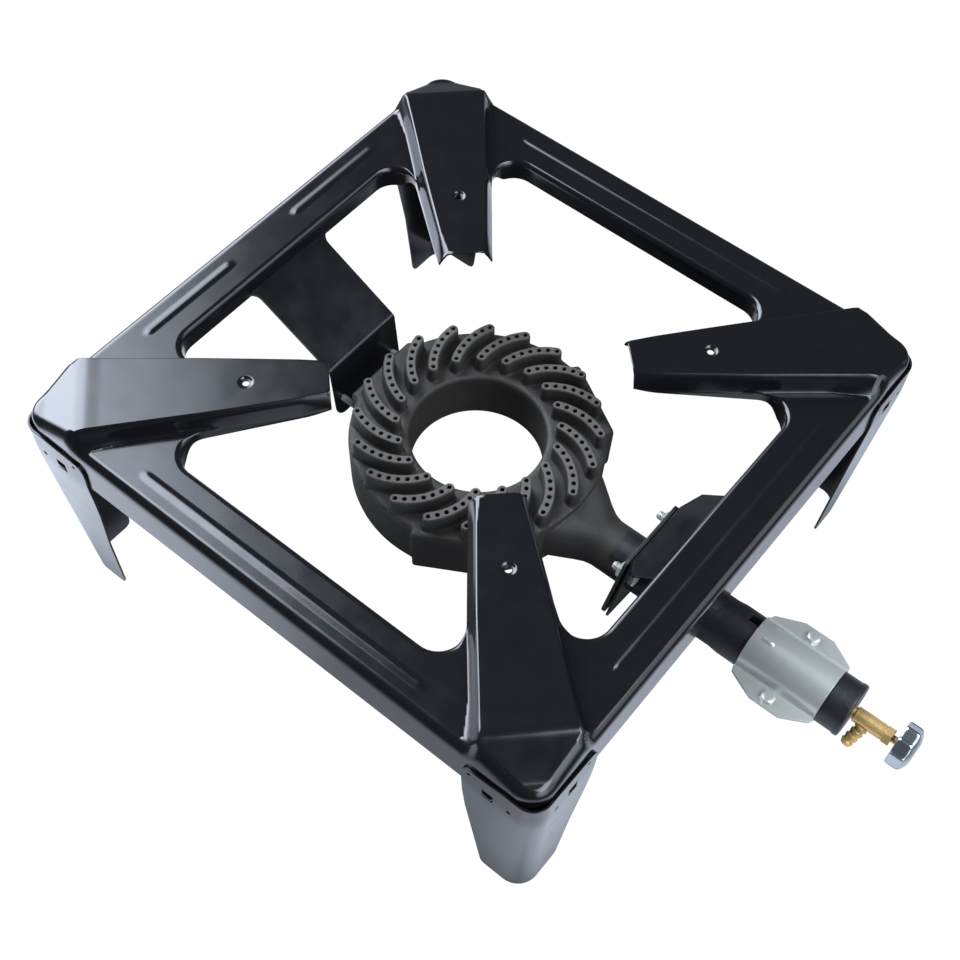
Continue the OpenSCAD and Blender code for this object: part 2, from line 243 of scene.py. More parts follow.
def cdt(outer, holes=(), loops=(), lines=(), points=None, eps=1e-4):
    """Triangles inside outer and outside the holes, that follow every loop and line."""
    pts, edges = [], []

    def put(P, closed):
        b, n = len(pts), len(P)
        pts.extend(Vector((float(p[0]), float(p[1]))) for p in P)
        edges.extend((b + i, b + (i + 1) % n) for i in range(n if closed else n - 1))

    put(outer, True)
    for h in list(holes) + list(loops):
        put(h, True)
    for l in lines:
        put(l, False)
    if points is not None:
        pts.extend(Vector((float(p[0]), float(p[1]))) for p in points)
    out = delaunay_2d_cdt(pts, edges, [], 0, eps, False)
    V = np.array([tuple(v) for v in out[0]], float)
    F = np.array([tuple(f) for f in out[2]], int)
    c = V[F].mean(1)
    ok = inside(np.asarray(outer, float), c)
    for h in holes:
        ok &= ~inside(np.asarray(h, float), c)
    F = F[ok]
    a = V[F]
    area = (a[:, 1, 0] - a[:, 0, 0]) * (a[:, 2, 1] - a[:, 0, 1]) - (a[:, 1, 1] - a[:, 0, 1]) * (a[:, 2, 0] - a[:, 0, 0])
    F[area < 0] = F[area < 0][:, ::-1]
    F = F[np.abs(area) > 1e-9]
    used = np.unique(F)
    m = -np.ones(len(V), int)
    m[used] = np.arange(len(used))
    return V[used], m[F]


def border(F):
    """Directed edges that only one face has."""
    E = set()
    for f in F:
        n = len(f)
        for i in range(n):
            E.add((f[i], f[(i + 1) % n]))
    return [(a, b) for a, b in E if (b, a) not in E]


def thicken(V, N, F, t, rim=0.3):
    """A sheet: the open surface V, F with normals N, its back, and a rounded rim all round."""
    V, N = np.asarray(V, float), unit(N)
    F = [tuple(int(i) for i in f) for f in F]
    E = border(F)
    n = len(V)
    O = np.zeros((n, 3))
    for a, b in E:
        e = V[b] - V[a]
        for k in (a, b):
            O[k] += unit(np.cross(e, N[k]))
    B = sorted({i for e in E for i in e})
    at = {v: k for k, v in enumerate(B)}
    O = unit(O[B])
    VB, NB = V[B], N[B]
    q = rim * (1 - math.sqrt(0.5))
    h = rim * math.sqrt(0.5)
    rows = [
        (VB + h * O - q * NB, unit(NB + O)),
        (VB + rim * O - rim * NB, O),
        (VB + rim * O - (t - rim) * NB, O),
        (VB + h * O - (t - q) * NB, unit(O - NB)),
    ]
    VV = [V, V - t * N] + [r[0] for r in rows]
    NN = [N, -N] + [r[1] for r in rows]
    b = len(B)
    start = [None] + [2 * n + k * b for k in range(4)]
    FF = F + [tuple(i + n for i in reversed(f)) for f in F]

    def idx(row, v):
        if row == 0:
            return v
        if row == 5:
            return v + n
        return start[row] + at[v]

    for a, c in E:
        for k in range(5):
            FF.append((idx(k, c), idx(k, a), idx(k + 1, a), idx(k + 1, c)))
    return np.concatenate(VV), FF, np.concatenate(NN)


def weld(V, N, F, tol=1e-3):
    key = np.round(V / tol).astype(np.int64)
    _, first, inv = np.unique(key, axis=0, return_index=True, return_inverse=True)
    inv = inv.ravel()
    F2 = []
    for f in F:
        g = []
        for i in f:
            j = int(inv[i])
            if not g or (g[-1] != j):
                g.append(j)
        if len(g) > 2 and g[0] == g[-1]:
            g.pop()
        if len(set(g)) > 2:
            F2.append(tuple(g))
    return V[first], N[first], F2


def bent(path, outline, holes=(), us=(), step=6.0, t=T, rim=0.3, lines=(), grid=True):
    """A sheet that is the same all along X: outline and holes in (x, s), where s runs down the path.
    path(s) gives y, z and the normal's y, z."""
    outer = divide(outline, step)
    hs = [divide(h, step) for h in holes]
    x0, x1 = outer[:, 0].min() - 1, outer[:, 0].max() + 1
    ls = [divide([[x0, s], [x1, s]], step, False) for s in us]
    # lines are cut to the outline by the triangles' test, so they may run past it
    V2, F = cdt(outer, hs, lines=list(ls) + list(lines))
    y, z, ny, nz = path(V2[:, 1])
    V = np.stack([V2[:, 0], y, z], 1)
    N = np.stack([np.zeros(len(V)), ny, nz], 1)
    fn = face_normals(V, F)
    sign = np.sign((fn * N[F[:, 0]]).sum())
    F = [tuple(f) if sign > 0 else tuple(reversed(f)) for f in F.tolist()]
    return thicken(V, N, F, t, rim)


def bend_path(pts, radii):
    """A path through (y, z) points with round bends. Returns path(s), its length and the s of each bend's start and end."""
    P = [np.array(p, float) for p in pts]
    segs = []
    cur = P[0]
    s = 0.0
    marks = []
    for i in range(1, len(P)):
        d0 = unit(P[i] - P[i - 1])
        if i < len(P) - 1:
            d1 = unit(P[i + 1] - P[i])
            turn = math.atan2(d0[0] * d1[1] - d0[1] * d1[0], d0 @ d1)
            r = radii[i - 1]
            k = r * math.tan(abs(turn) / 2)
            e = P[i] - d0 * k
        else:
            e = P[i]
        L = float(np.linalg.norm(e - cur))
        segs.append(("l", s, s + L, cur, d0))
        s += L
        if i < len(P) - 1:
            A = abs(turn) * r
            nrm = np.array([-d0[1], d0[0]]) * (1 if turn > 0 else -1)
            segs.append(("a", s, s + A, e + nrm * r, (e - (e + nrm * r)), turn, r, d0))
            marks.append((s, s + A))
            s += A
            cur = P[i] + d1 * k

    def path(S):
        S = np.asarray(S, float)
        y, z = np.zeros_like(S), np.zeros_like(S)
        dy, dz = np.zeros_like(S), np.zeros_like(S)
        for j, g in enumerate(segs):
            m = (S >= g[1] - (1e9 if j == 0 else 0)) & (S <= g[2] + (1e9 if j == len(segs) - 1 else 0))
            q = S[m] - g[1]
            if g[0] == "l":
                y[m] = g[3][0] + g[4][0] * q
                z[m] = g[3][1] + g[4][1] * q
                dy[m], dz[m] = g[4][0], g[4][1]
            else:
                a = q / g[6] * (1 if g[5] > 0 else -1)
                c, sn = np.cos(a), np.sin(a)
                v = g[4]
                y[m] = g[3][0] + v[0] * c - v[1] * sn
                z[m] = g[3][1] + v[0] * sn + v[1] * c
                d = g[7]
                dy[m] = d[0] * c - d[1] * sn
                dz[m] = d[0] * sn + d[1] * c
        return y, z, dy, dz

    return path, s, marks


# ------------------------------------------------------------------ the pressed frame

HALF, CR, PLATE, SKIRT, FOLD = 200.0, 16.0, 176.5, 142.8, 6.0
WIN, LIP, WFIL = 165.0, 161.5, 16.0
POT, TIP, CREASE, HOLE_U, HOLE_R = 189.0, 93.5, 244.2, 144.4, 2.5
BEAD_AT, BEAD_L, BEAD_W, BEAD_H = 184.5, 110.0, 8.5, 0.55


def foot_w(u):
    return 14 + 0.107 * (u - 97) + 0.31 * 13.2


def top_w(u):
    return np.interp(u, [80, 95, 148, 172, 196, 220, 237, 262], [12.5, 14.0, 19.5, 21.9, 23.8, 25.8, 27.4, 29.8])


def uv(u, v):
    return np.array([(u - v) / S2, (u + v) / S2])


def quad_turn(p, q):
    for _ in range(q % 4):
        p = np.array([-p[1], p[0]])
    return p


def fillet(a, b, c, r, n):
    p, q = unit(a - b), unit(c - b)
    h = math.acos(float(np.clip(p @ q, -1, 1))) / 2
    o = b + unit(p + q) * r / math.sin(h)
    k = r / math.tan(h)
    s, e = b + p * k - o, b + q * k - o
    a0, a1 = math.atan2(s[1], s[0]), math.atan2(e[1], e[0])
    d = (a1 - a0 + math.pi) % (2 * math.pi) - math.pi
    return [o + r * np.array([math.cos(a0 + d * i / n), math.sin(a0 + d * i / n)]) for i in range(n + 1)]


def opening(d, n=26):
    def root_u(d):
        return ((WIN + d) * S2 - foot_w(0) + d) / 1.107

    def root_w(d):
        return foot_w(root_u(d)) - d

    a = quad_turn(uv(root_u(d), root_w(d)), 3)
    b = uv(root_u(d), -root_w(d))
    c = uv(TIP + d, -(foot_w(TIP + d) - d))
    e = uv(TIP + d, foot_w(TIP + d) - d)
    f = uv(root_u(d), root_w(d))
    g = quad_turn(b, 1)
    one = fillet(a, b, c, WFIL + d, n) + [c, e] + fillet(e, f, g, WFIL + d, n)
    return np.array([quad_turn(p, q) for q in range(4) for p in one])


def rsquare(h, r, n=14, step=6.0):
    out = []
    for q in range(4):
        c = quad_turn(np.array([h - r, h - r]), q)
        for i in range(n + 1):
            a = math.radians(90 * q + 90 * i / n)
            out.append(c + r * np.array([math.cos(a), math.sin(a)]))
    return divide(np.array(out), step)


def smin(a, b, k):
    h = np.maximum(k - np.abs(a - b), 0) / k
    return np.minimum(a, b) - h * h * k / 4


def smax(a, b, k):
    return -smin(-a, -b, k)


def seg_dist(P, x, y):
    best = np.full(x.shape, 1e9)
    Q = np.roll(P, -1, 0)
    for (ax, ay), (bx, by) in zip(P, Q):
        dx, dy = bx - ax, by - ay
        L = dx * dx + dy * dy
        t = np.clip(((x - ax) * dx + (y - ay) * dy) / L, 0, 1)
        best = np.minimum(best, (x - ax - t * dx) ** 2 + (y - ay - t * dy) ** 2)
    return np.sqrt(best)


OPEN0 = opening(0.0)


def fold_drop(d, r):
    g = np.clip(d, 0, r)
    z = r - np.sqrt(np.maximum(r * r - (r - g) ** 2, 0))
    return z + np.where(d < 0, -d * 12, 0)


def win_dist(x, y):
    """Distance from the opening's edge into the metal."""
    d = seg_dist(OPEN0, x, y)
    s = inside(OPEN0, np.stack([x, y], 1))
    return np.where(s, -d, d)


def out_dist(x, y):
    qx, qy = np.abs(x) - (HALF - CR), np.abs(y) - (HALF - CR)
    o = np.hypot(np.maximum(qx, 0), np.maximum(qy, 0)) + np.minimum(np.maximum(qx, qy), 0) - CR
    return -o


def height(x, y):
    ax, ay = np.abs(x), np.abs(y)
    u, v = (ax + ay) / S2, np.abs(ay - ax) / S2
    # beads along the four sides
    off, along = np.maximum(ax, ay), np.minimum(ax, ay)
    over = np.maximum(along - (BEAD_L - BEAD_W / 2), 0)
    # the rear side has two shorter beads
    rear = np.minimum(np.maximum(np.abs(x - 68.0) - 37.75, 0), np.maximum(np.abs(x + 70.0) - 35.75, 0))
    over = np.where((y > 0) & (ay > ax), rear, over)
    # a bead falls off faster towards the opening than towards the skirt
    q = off - (BEAD_AT - 0.7)
    rho = np.hypot(np.where(q < 0, q / 3.6, q / 5.0), over / 4.2)
    base = PLATE + BEAD_H * 0.5 * (1 + np.cos(math.pi * np.clip(rho, 0, 1)))
    ts = top_w(u)
    dr = np.interp(u, [94, 112, 150, 187], [0.42, 0.31, 0.31, 0.245])
    hole = np.hypot(u - HOLE_U, v)
    top = POT - 0.9 * smooth((5.0 - hole) / 2.3)
    wall = POT - (v - ts) / dr
    k_top = np.interp(u, [93, 112, 148, 238], [8.5, 4.8, 4.6, 6.5])
    arm = smin(top, wall, k_top)
    base = base - 16 * (1 - smooth((u - 157) / 11)) * (v < 40)
    k_foot = 5 + 11 * smooth((u - 212) / 30)
    z = smax(base, arm, k_foot)
    facet = smax(POT - (u - CREASE) * 0.5, np.full_like(u, PLATE), 1.6)
    z = smin(z, facet, 2.2)
    z = z - fold_drop(out_dist(x, y), FOLD)
    e = v - foot_w(u)
    r = 0.6 + 3.2 * smooth(e / 6)
    return z - fold_drop(win_dist(x, y), r)


def lip_bottom(x, y):
    ax, ay = np.abs(x), np.abs(y)
    u, v = (ax + ay) / S2, np.abs(ay - ax) / S2
    e = v - foot_w(u)
    arm = np.interp(u, [93.5, 98, 106, 171], [179.2, 177.4, 175.2, 169.6])
    return arm + (LIP - arm) * smooth((e - 1.0) / 9)


def make_frame(mat, mat_in):
    outer = rsquare(HALF, CR)
    loops = [rsquare(HALF - d, CR - d) for d in (0.25, 0.8, 1.6, 2.7, 4.0, 5.3, 6.3, 8.0)]
    holes = [divide(opening(0.0), 5.0)]
    loops += [divide(opening(d), 5.0) for d in (0.25, 0.6, 1.1, 1.8, 2.6, 3.4, 4.2, 5.2)]
    lines, points = [], []
    ring = np.arange(40) * 2 * math.pi / 40
    for q in range(4):
        a = math.radians(45 + 90 * q)
        ca, sa = math.cos(a), math.sin(a)

        def w(u, v):
            u, v = np.asarray(u, float), np.asarray(v, float)
            return np.stack([u * ca - v * sa, u * sa + v * ca], -1)

        for s in (-3.0, -2.2, -1.5, -0.9, -0.3, 0.3, 0.9, 1.5, 2.2, 3.0, 3.8, 4.6, 5.4, 6.2, 7.2, 8.2):
            lo = 96.0 if s < 2.4 else (100.0 if s < 3.4 else 176.0)
            us = np.concatenate([np.arange(lo, 206.0, 4.0), np.arange(206.0, 262.0, 1.6)])
            for g in (-1, 1):
                l = w(us, g * (top_w(us) + s))
                lines.append(l[out_dist(l[:, 0], l[:, 1]) > 6.8])
        for uu in (241.8, 243.0, 244.2, 245.4, 246.6, 265.0, 266.8, 268.2, 269.6):
            wd = 26 if uu < 250 else 12
            vv = np.arange(-wd, wd + 0.1, 2.0)
            lines.append(w(np.full_like(vv, uu), vv))
        gu, gv = np.meshgrid(np.arange(229.0, 274.0, 1.35), np.arange(-46.0, 46.1, 1.35))
        points.append(w(gu.ravel(), gv.ravel()))
        gu, gv = np.meshgrid(np.arange(156.0, 229.0, 2.2), np.arange(19.0, 44.0, 2.2))
        points += [w(gu.ravel(), gv.ravel()), w(gu.ravel(), -gv.ravel())]
        gu, gv = np.meshgrid(np.arange(100.0, 229.0, 8.0), np.arange(-16.0, 16.1, 8.0))
        points.append(w(gu.ravel(), gv.ravel()))
        c = w(HOLE_U, 0.0)
        for r in (2.9, 3.3, 3.7, 4.1, 4.5, 4.9, 5.4):
            loops.append(c + r * np.stack([np.cos(ring), np.sin(ring)], 1))
        holes.append(c + HOLE_R * np.stack([np.cos(ring), np.sin(ring)], 1))
        for o in (-4.6, -4.1, -3.6, -3.1, -2.6, -2.1, -1.6, -0.8, 0.2, 1.2, 2.2, 3.2, 4.2, 4.9):
            al = np.arange(-112.0, 112.1, 4.0)
            P = np.stack([np.full_like(al, BEAD_AT + o), al], 1)
            lines.append(np.array([quad_turn(p, q) for p in P]))
        gx, gy = np.meshgrid(np.arange(166.0, 200.0, 7.0), np.arange(-150.0, 151.0, 7.0))
        P = np.stack([gx.ravel(), gy.ravel()], 1)
        points.append(np.array([quad_turn(p, q) for p in P]))
        for g in (-1, 1):
            gx, gy = np.meshgrid(np.arange(178.0, 191.0, 1.3), g * np.arange(102.0, 114.0, 1.3))
            P = np.stack([gx.ravel(), gy.ravel()], 1)
            points.append(np.array([quad_turn(p, q) for p in P]))
    for x0 in (-38.0, 22.0):
        gx, gy = np.meshgrid(np.arange(x0, x0 + 12.1, 1.3), np.arange(178.0, 191.0, 1.3))
        points.append(np.stack([gx.ravel(), gy.ravel()], 1))
    P = np.concatenate(points)
    P = P[(out_dist(P[:, 0], P[:, 1]) > 8.5) | (np.hypot(P[:, 0], P[:, 1]) > 238) & (out_dist(P[:, 0], P[:, 1]) > 6.6)]
    P = P[win_dist(P[:, 0], P[:, 1]) > 0.5]
    pu = (np.abs(P[:, 0]) + np.abs(P[:, 1])) / S2
    pv = np.abs(np.abs(P[:, 1]) - np.abs(P[:, 0])) / S2 - top_w(pu)
    P = P[(pu > 240) | (pv < -3.6) | (pv > 8.8)]
    V2, F = cdt(outer, holes, loops=loops, lines=lines, points=P, eps=2e-3)
    x, y = V2[:, 0], V2[:, 1]
    z = height(x, y)
    h = 0.06
    gx = (height(x + h, y) - height(x - h, y)) / (2 * h)
    gy = (height(x, y + h) - height(x, y - h)) / (2 * h)
    N = unit(np.stack([-gx, -gy, np.ones_like(gx)], 1))
    V = np.stack([x, y, z], 1)
    F = [tuple(f) for f in F.tolist()]
    E = border(F)
    dO = out_dist(x, y)
    dW = np.abs(win_dist(x, y))
    u = (np.abs(x) + np.abs(y)) / S2
    VV, NN, FF = [V], [N], list(F)
    n = len(V)

    def drop(edges, zs, nrm):
        """Rows below each edge vertex, at the heights that zs gives."""
        nonlocal n
        B = sorted({i for e in edges for i in e})
        at = {v: k for k, v in enumerate(B)}
        rows = zs(V[B])
        nb = nrm(V[B], N[B])
        prev = {v: v for v in B}
        for r in rows:
            VV.append(np.stack([V[B][:, 0], V[B][:, 1], r], 1))
            NN.append(nb)
            new = {v: n + at[v] for v in B}
            for a, b in edges:
                FF.append((prev[b], prev[a], new[a], new[b]))
            prev = new
            n += len(B)

    skirt = [e for e in E if dO[e[0]] < 1e-2 and dO[e[1]] < 1e-2]
    flat = lambda P, M: unit(M * [1, 1, 0])
    drop(skirt, lambda P: [np.full(len(P), c) for c in (168.0, 160.0, 150.0, SKIRT + 0.3)], flat)
    mid = lambda e: (V[e[0]] + V[e[1]]) / 2
    lip = []
    for e in E:
        if dW[e[0]] < 1e-2 and dW[e[1]] < 1e-2:
            m = mid(e)
            if (abs(m[0]) + abs(m[1])) / S2 > TIP + 0.05:
                lip.append(e)

    def lips(P):
        b = np.minimum(lip_bottom(P[:, 0], P[:, 1]), P[:, 2] - 0.5)
        return [P[:, 2] + (b - P[:, 2]) * k for k in (0.35, 0.7, 1.0)]

    drop(lip, lips, flat)
    V, N = np.concatenate(VV), np.concatenate(NN)
    S = Shape()
    S.add(*_vfn(thicken(V, N, FF, T, 0.3)))
    # hooks of the skirt that pass through the legs
    for q in range(4):
        for g in (-1, 1):
            c = np.array([HALF - 1, g * 168.3, 147.4])
            o = [[-1, -3.4], [2.0, -3.4], [3.1, -2.6], [3.1, 2.6], [2.0, 3.4], [-1, 3.4]]
            V2, F2 = cdt(divide(o, 2.0))
            Vh = np.stack([c[0] + V2[:, 0], c[1] + V2[:, 1], np.full(len(V2), c[2] + 0.75)], 1)
            S.add(*_vfn(thicken(Vh, np.tile([0, 0, 1.0], (len(Vh), 1)), F2, T, 0.3)), xf=turned(q))
    # rear tongue
    path, L, marks = bend_path([(166.0, 165.0), (100.06, 130.15), (95.7, 84.0)], [4.0])

    def tongue(s):
        y, z, dy, dz = path(s)
        return y, z, dz, -dy

    s1 = marks[0][0]
    o = [[41.0, 0.0]] + [[40.5 + 8 * math.cos(a), 9.0 + 8 * math.sin(a)] for a in np.linspace(-math.pi / 2, -math.pi, 9)]
    o += [[32.2, s1], [32.2, L - 8]]
    o += [[24.2 + 8 * math.cos(a), L - 8 + 8 * math.sin(a)] for a in np.linspace(0, math.pi / 2, 9)[1:]]
    o += [[-x, v] for x, v in reversed(o)]
    us = [a + (b - a) * k / 6 for a, b in marks for k in range(7)] + list(np.arange(4, L, 9))
    S.add(*_vfn(bent(tongue, o, us=sorted(us))))
    return S.build("pressed_frame", [mat], "stand", ["frame"])


def _vfn(t):
    V, F, N = t
    return V, F, N


# ------------------------------------------------------------------ legs

FOOT = 192.25


def leg_x(z):
    """Distance from the centre to a leg's outer face: it leans in to the foot and stands upright by the skirt."""
    return smin(FOOT + 9.506 * z / 143.0, np.full_like(z, FOOT + 9.506), 0.6)


def make_leg(name, node, k, mat, tuck=0.0):
    """One leg: an L-shaped sheet. With tuck, the foot of its first flange stands that much further in."""

    def ax(z):
        return leg_x(z) - tuck * np.clip(1 - z / 143.0, 0, 1)

    def r_at(z):
        return np.interp(z, [0, 165], [15.0, 12.5])

    def dz_of(f, z):
        return (f(z + 0.5) - f(z - 0.5)) / 1.0

    # edges of the two flanges, as (distance from the centre, height)
    A = [(160.2, -0.3), (157.4, 1.2), (156.3, 4.0), (150.2, 100.0), (149.9, 128.0), (149.9, 155.5), (150.6, 159.6), (152.6, 162.2), (156.0, 163.3), (170.0, 164.0), (180.0, 165.0)]
    B = [(162.0, -0.3), (159.2, 1.2), (158.0, 4.0), (154.6, 60.0), (148.4, 106.0), (147.0, 128.0), (146.6, 154.0), (147.3, 158.6), (149.4, 161.9), (152.6, 163.2), (169.0, 164.0), (180.0, 165.0)]
    za = np.array([float(z) for _, z in A])
    zb = np.array([float(z) for _, z in B])
    pa = -(ax(za) - np.array([a for a, _ in A]))
    pb = leg_x(zb) - np.array([b for b, _ in B])
    o = list(zip(pa, za)) + list(zip(pb[::-1], zb[::-1]))
    outer = divide(np.array(o), 4.0)

    def box(p0, z0, p1, z1, r=0.8):
        c = []
        for cx, cz, a0 in ((p1 - r, z1 - r, 0), (p0 + r, z1 - r, 90), (p0 + r, z0 + r, 180), (p1 - r, z0 + r, 270)):
            for i in range(4):
                a = math.radians(a0 + 30 * i)
                c.append((cx + r * math.cos(a), cz + r * math.sin(a)))
        return np.array(c)

    def disc(p, z, r):
        a = np.arange(20) * 2 * math.pi / 20
        return np.stack([p + r * np.cos(a), z + r * np.sin(a)], 1)

    head = FOOT + 9.506
    holes = []
    for g in (-1, 1):
        p = sorted([g * (head - 164.3), g * (head - 172.3)])
        holes.append(box(p[0], 143.3, p[1], 152.3))
        holes.append(disc(g * (head - 155.0), 158.4, 1.5))
        holes.append(disc(g * (head - 183.0), 148.0, 1.8))
    lines = []
    for p in np.linspace(-24, 24, 33):
        lines.append(divide([[p, -5], [p, 180]], 7.0, False))
    for z in list(np.arange(8, 128, 9.0)) + list(np.arange(130, 164, 3.0)):
        lines.append(divide([[-60, z], [60, z]], 6.0, False))
    V2, F = cdt(outer, holes, lines=lines)
    p, z = V2[:, 0], V2[:, 1]
    r = r_at(z)
    XA, XB = ax(z), leg_x(z)
    a = np.radians(45 + 45 * np.clip(p / r, -1, 1))
    x = np.where(p <= -r, XA, np.where(p >= r, XB - p, XA - r + r * np.cos(a)))
    y = np.where(p <= -r, XA + p, np.where(p >= r, XB, XB - r + r * np.sin(a)))
    # past the bend the two flanges start where the bend ends
    x = np.where(p >= r, XA - p, x)
    y = np.where(p <= -r, XB + p, y)
    V = np.stack([x, y, z], 1)
    da, db = dz_of(ax, z), dz_of(leg_x, z)
    N = np.stack([np.cos(a), np.sin(a), -(da * np.cos(a) + db * np.sin(a))], 1)
    fn = face_normals(V, F)
    if (fn * N[F[:, 0]]).sum() < 0:
        F = F[:, ::-1]
    S = Shape()
    S.add(*_vfn(thicken(V, unit(N), [tuple(f) for f in F.tolist()], T, 0.3)), xf=turned(k))
    V = S.v[0]
    V[:, 2] = np.maximum(V[:, 2], 0.0)
    return S.build(name, [mat], "stand", [node])


# ------------------------------------------------------------------ small turned and hexagonal parts


def hexagon(af, z0, z1, cham0=True, cham1=True, m=8, dome=0.0):
    """A hexagon across flats af from z0 to z1, with turned chamfers."""
    R = af / 2
    a = np.arange(6 * m) * 2 * math.pi / (6 * m)
    rad = R / np.cos((a % (math.pi / 3)) - math.pi / 6)
    c = 0.96 * R
    cut = np.maximum(0, (rad - c) * math.tan(math.radians(30)))
    cs = np.stack([np.cos(a), np.sin(a)], 1)

    def ring(r, z):
        return np.column_stack([cs * np.asarray(r).reshape(-1, 1) if np.ndim(r) else cs * r, z if np.ndim(z) else np.full(len(a), z)])

    rings = []
    if cham0:
        rings += [ring(c, z0), ring(rad, z0 + cut)]
    else:
        rings += [ring(rad, z0)]
    if cham1:
        rings += [ring(rad, z1 - cut), ring(c, z1)]
        if dome:
            rings += [ring(c * 0.7, z1 + dome * 0.6), ring(c * 0.35, z1 + dome * 0.93)]
    else:
        rings += [ring(rad, z1)]
    return loft(rings)


def thread(r, z0, z1, pitch, depth=None, tip=0.5):
    """A threaded bar from z0 to z1, its free end at z1."""
    d = depth or pitch * 0.5
    P = [(0, z0), (r - d, z0)]
    z = z0
    while z + pitch < z1 - tip:
        P += [(r - d, z + 0.12 * pitch), (r, z + 0.42 * pitch), (r, z + 0.58 * pitch), (r - d, z + 0.88 * pitch)]
        z += pitch
    P += [(r - d, z1 - tip), (r - d - tip * 0.8, z1), (0, z1)]
    return lathe(P, 32)


def along_y(y, x=0.0, z=92.5, sign=-1):
    """Local Z runs along sign * Y, from (x, y, z)."""
    return frame_to((x, y, z), (0, sign, 0), (1, 0, 0))


# ------------------------------------------------------------------ burner

BR, BORE, B0, DECK, RIBZ, RIBW = 84.8, 45.0, 80.0, 118.0, 130.0, 6.7
AX = 92.5
RIB_C = np.array([31.9, -36.5])
RIB_R, RIB_A, RIB_B = 42.8, 10.1, 58.7


def body_outline(n=360, grow=0.0):
    a = np.arange(n) * 2 * math.pi / n
    R = np.full(n, BR)
    for c in (90, -30, -150):
        d = (np.degrees(a) - c + 180) % 360 - 180
        d = np.radians(np.abs(d))
        lug = np.where(d < math.atan2(29.5, 85.0), 85.0 / np.cos(d), 29.5 / np.maximum(np.sin(d), 0.05))
        R = np.where(d < math.radians(24), np.maximum(R, lug), R)
    ker = np.exp(-0.5 * (np.arange(-4, 5) / 0.6) ** 2)
    ker /= ker.sum()
    R = np.convolve(np.concatenate([R[-4:], R, R[:4]]), ker, "valid")
    return np.stack([(R + grow) * np.cos(a), (R + grow) * np.sin(a)], 1)


def stadium(w, ends=10):
    """The outline of a rib whose half-width is w."""
    P = []
    for i in range(17):
        a = math.radians(RIB_A + (RIB_B - RIB_A) * i / 16)
        P.append(RIB_C + (RIB_R + w) * np.array([math.cos(a), math.sin(a)]))
    b = math.radians(RIB_B)
    e = RIB_C + RIB_R * np.array([math.cos(b), math.sin(b)])
    for i in range(1, ends):
        a = b + math.pi * i / ends
        P.append(e + w * np.array([math.cos(a), math.sin(a)]))
    for i in range(17):
        a = math.radians(RIB_B + (RIB_A - RIB_B) * i / 16)
        P.append(RIB_C + (RIB_R - w) * np.array([math.cos(a), math.sin(a)]))
    b = math.radians(RIB_A)
    e = RIB_C + RIB_R * np.array([math.cos(b), math.sin(b)])
    for i in range(1, ends):
        a = b + math.pi + math.pi * i / ends
        P.append(e + w * np.array([math.cos(a), math.sin(a)]))
    return np.array(P)


def flat3(P, z):
    return np.column_stack([P, np.full(len(P), z)])


def make_rib():
    w = RIBW / 2
    rings = [(w + 1.7, DECK - 0.4), (w + 1.0, DECK + 0.3), (w + 0.5, DECK + 1.1), (w + 0.28, DECK + 2.8), (w + 0.1, RIBZ - 2.0),
             (w, RIBZ - 1.0), (w - 0.22, RIBZ - 0.35), (w - 0.7, RIBZ)]
    V, F = loft([flat3(stadium(a), z) for a, z in rings], cap0=True, cap1=False)
    n = len(V)
    top = stadium(w - 0.7)
    a = np.arange(14) * 2 * math.pi / 14
    cs = np.stack([np.cos(a), np.sin(a)], 1)
    holes = []
    for k in range(7):
        b = math.radians(RIB_A + (RIB_B - RIB_A) * k / 6)
        holes.append(RIB_C + RIB_R * np.array([math.cos(b), math.sin(b)]) + 1.62 * cs)
    V2, F2 = cdt(top, holes)
    VV, FF = [V, flat3(V2, RIBZ)], list(F) + [tuple(int(i) + n for i in f) for f in F2]
    m = n + len(V2)
    for h in holes:
        c = h.mean(0)
        VV += [flat3(h, RIBZ), flat3(c + (h - c) * 0.93, RIBZ - 0.25), flat3(c + (h - c) * 0.93, RIBZ - 9)]
        k = len(h)
        for r in range(2):
            for i in range(k):
                j = (i + 1) % k
                FF.append((m + r * k + j, m + r * k + i, m + (r + 1) * k + i, m + (r + 1) * k + j))
        FF.append(tuple(m + 2 * k + i for i in range(k)))
        m += 3 * k
    # the cap's triangles face up, and the walls face out
    V = np.concatenate(VV)
    lo = [f for f in FF[: len(F)]]
    lo = outward(V, lo)
    return V, lo + FF[len(F):]


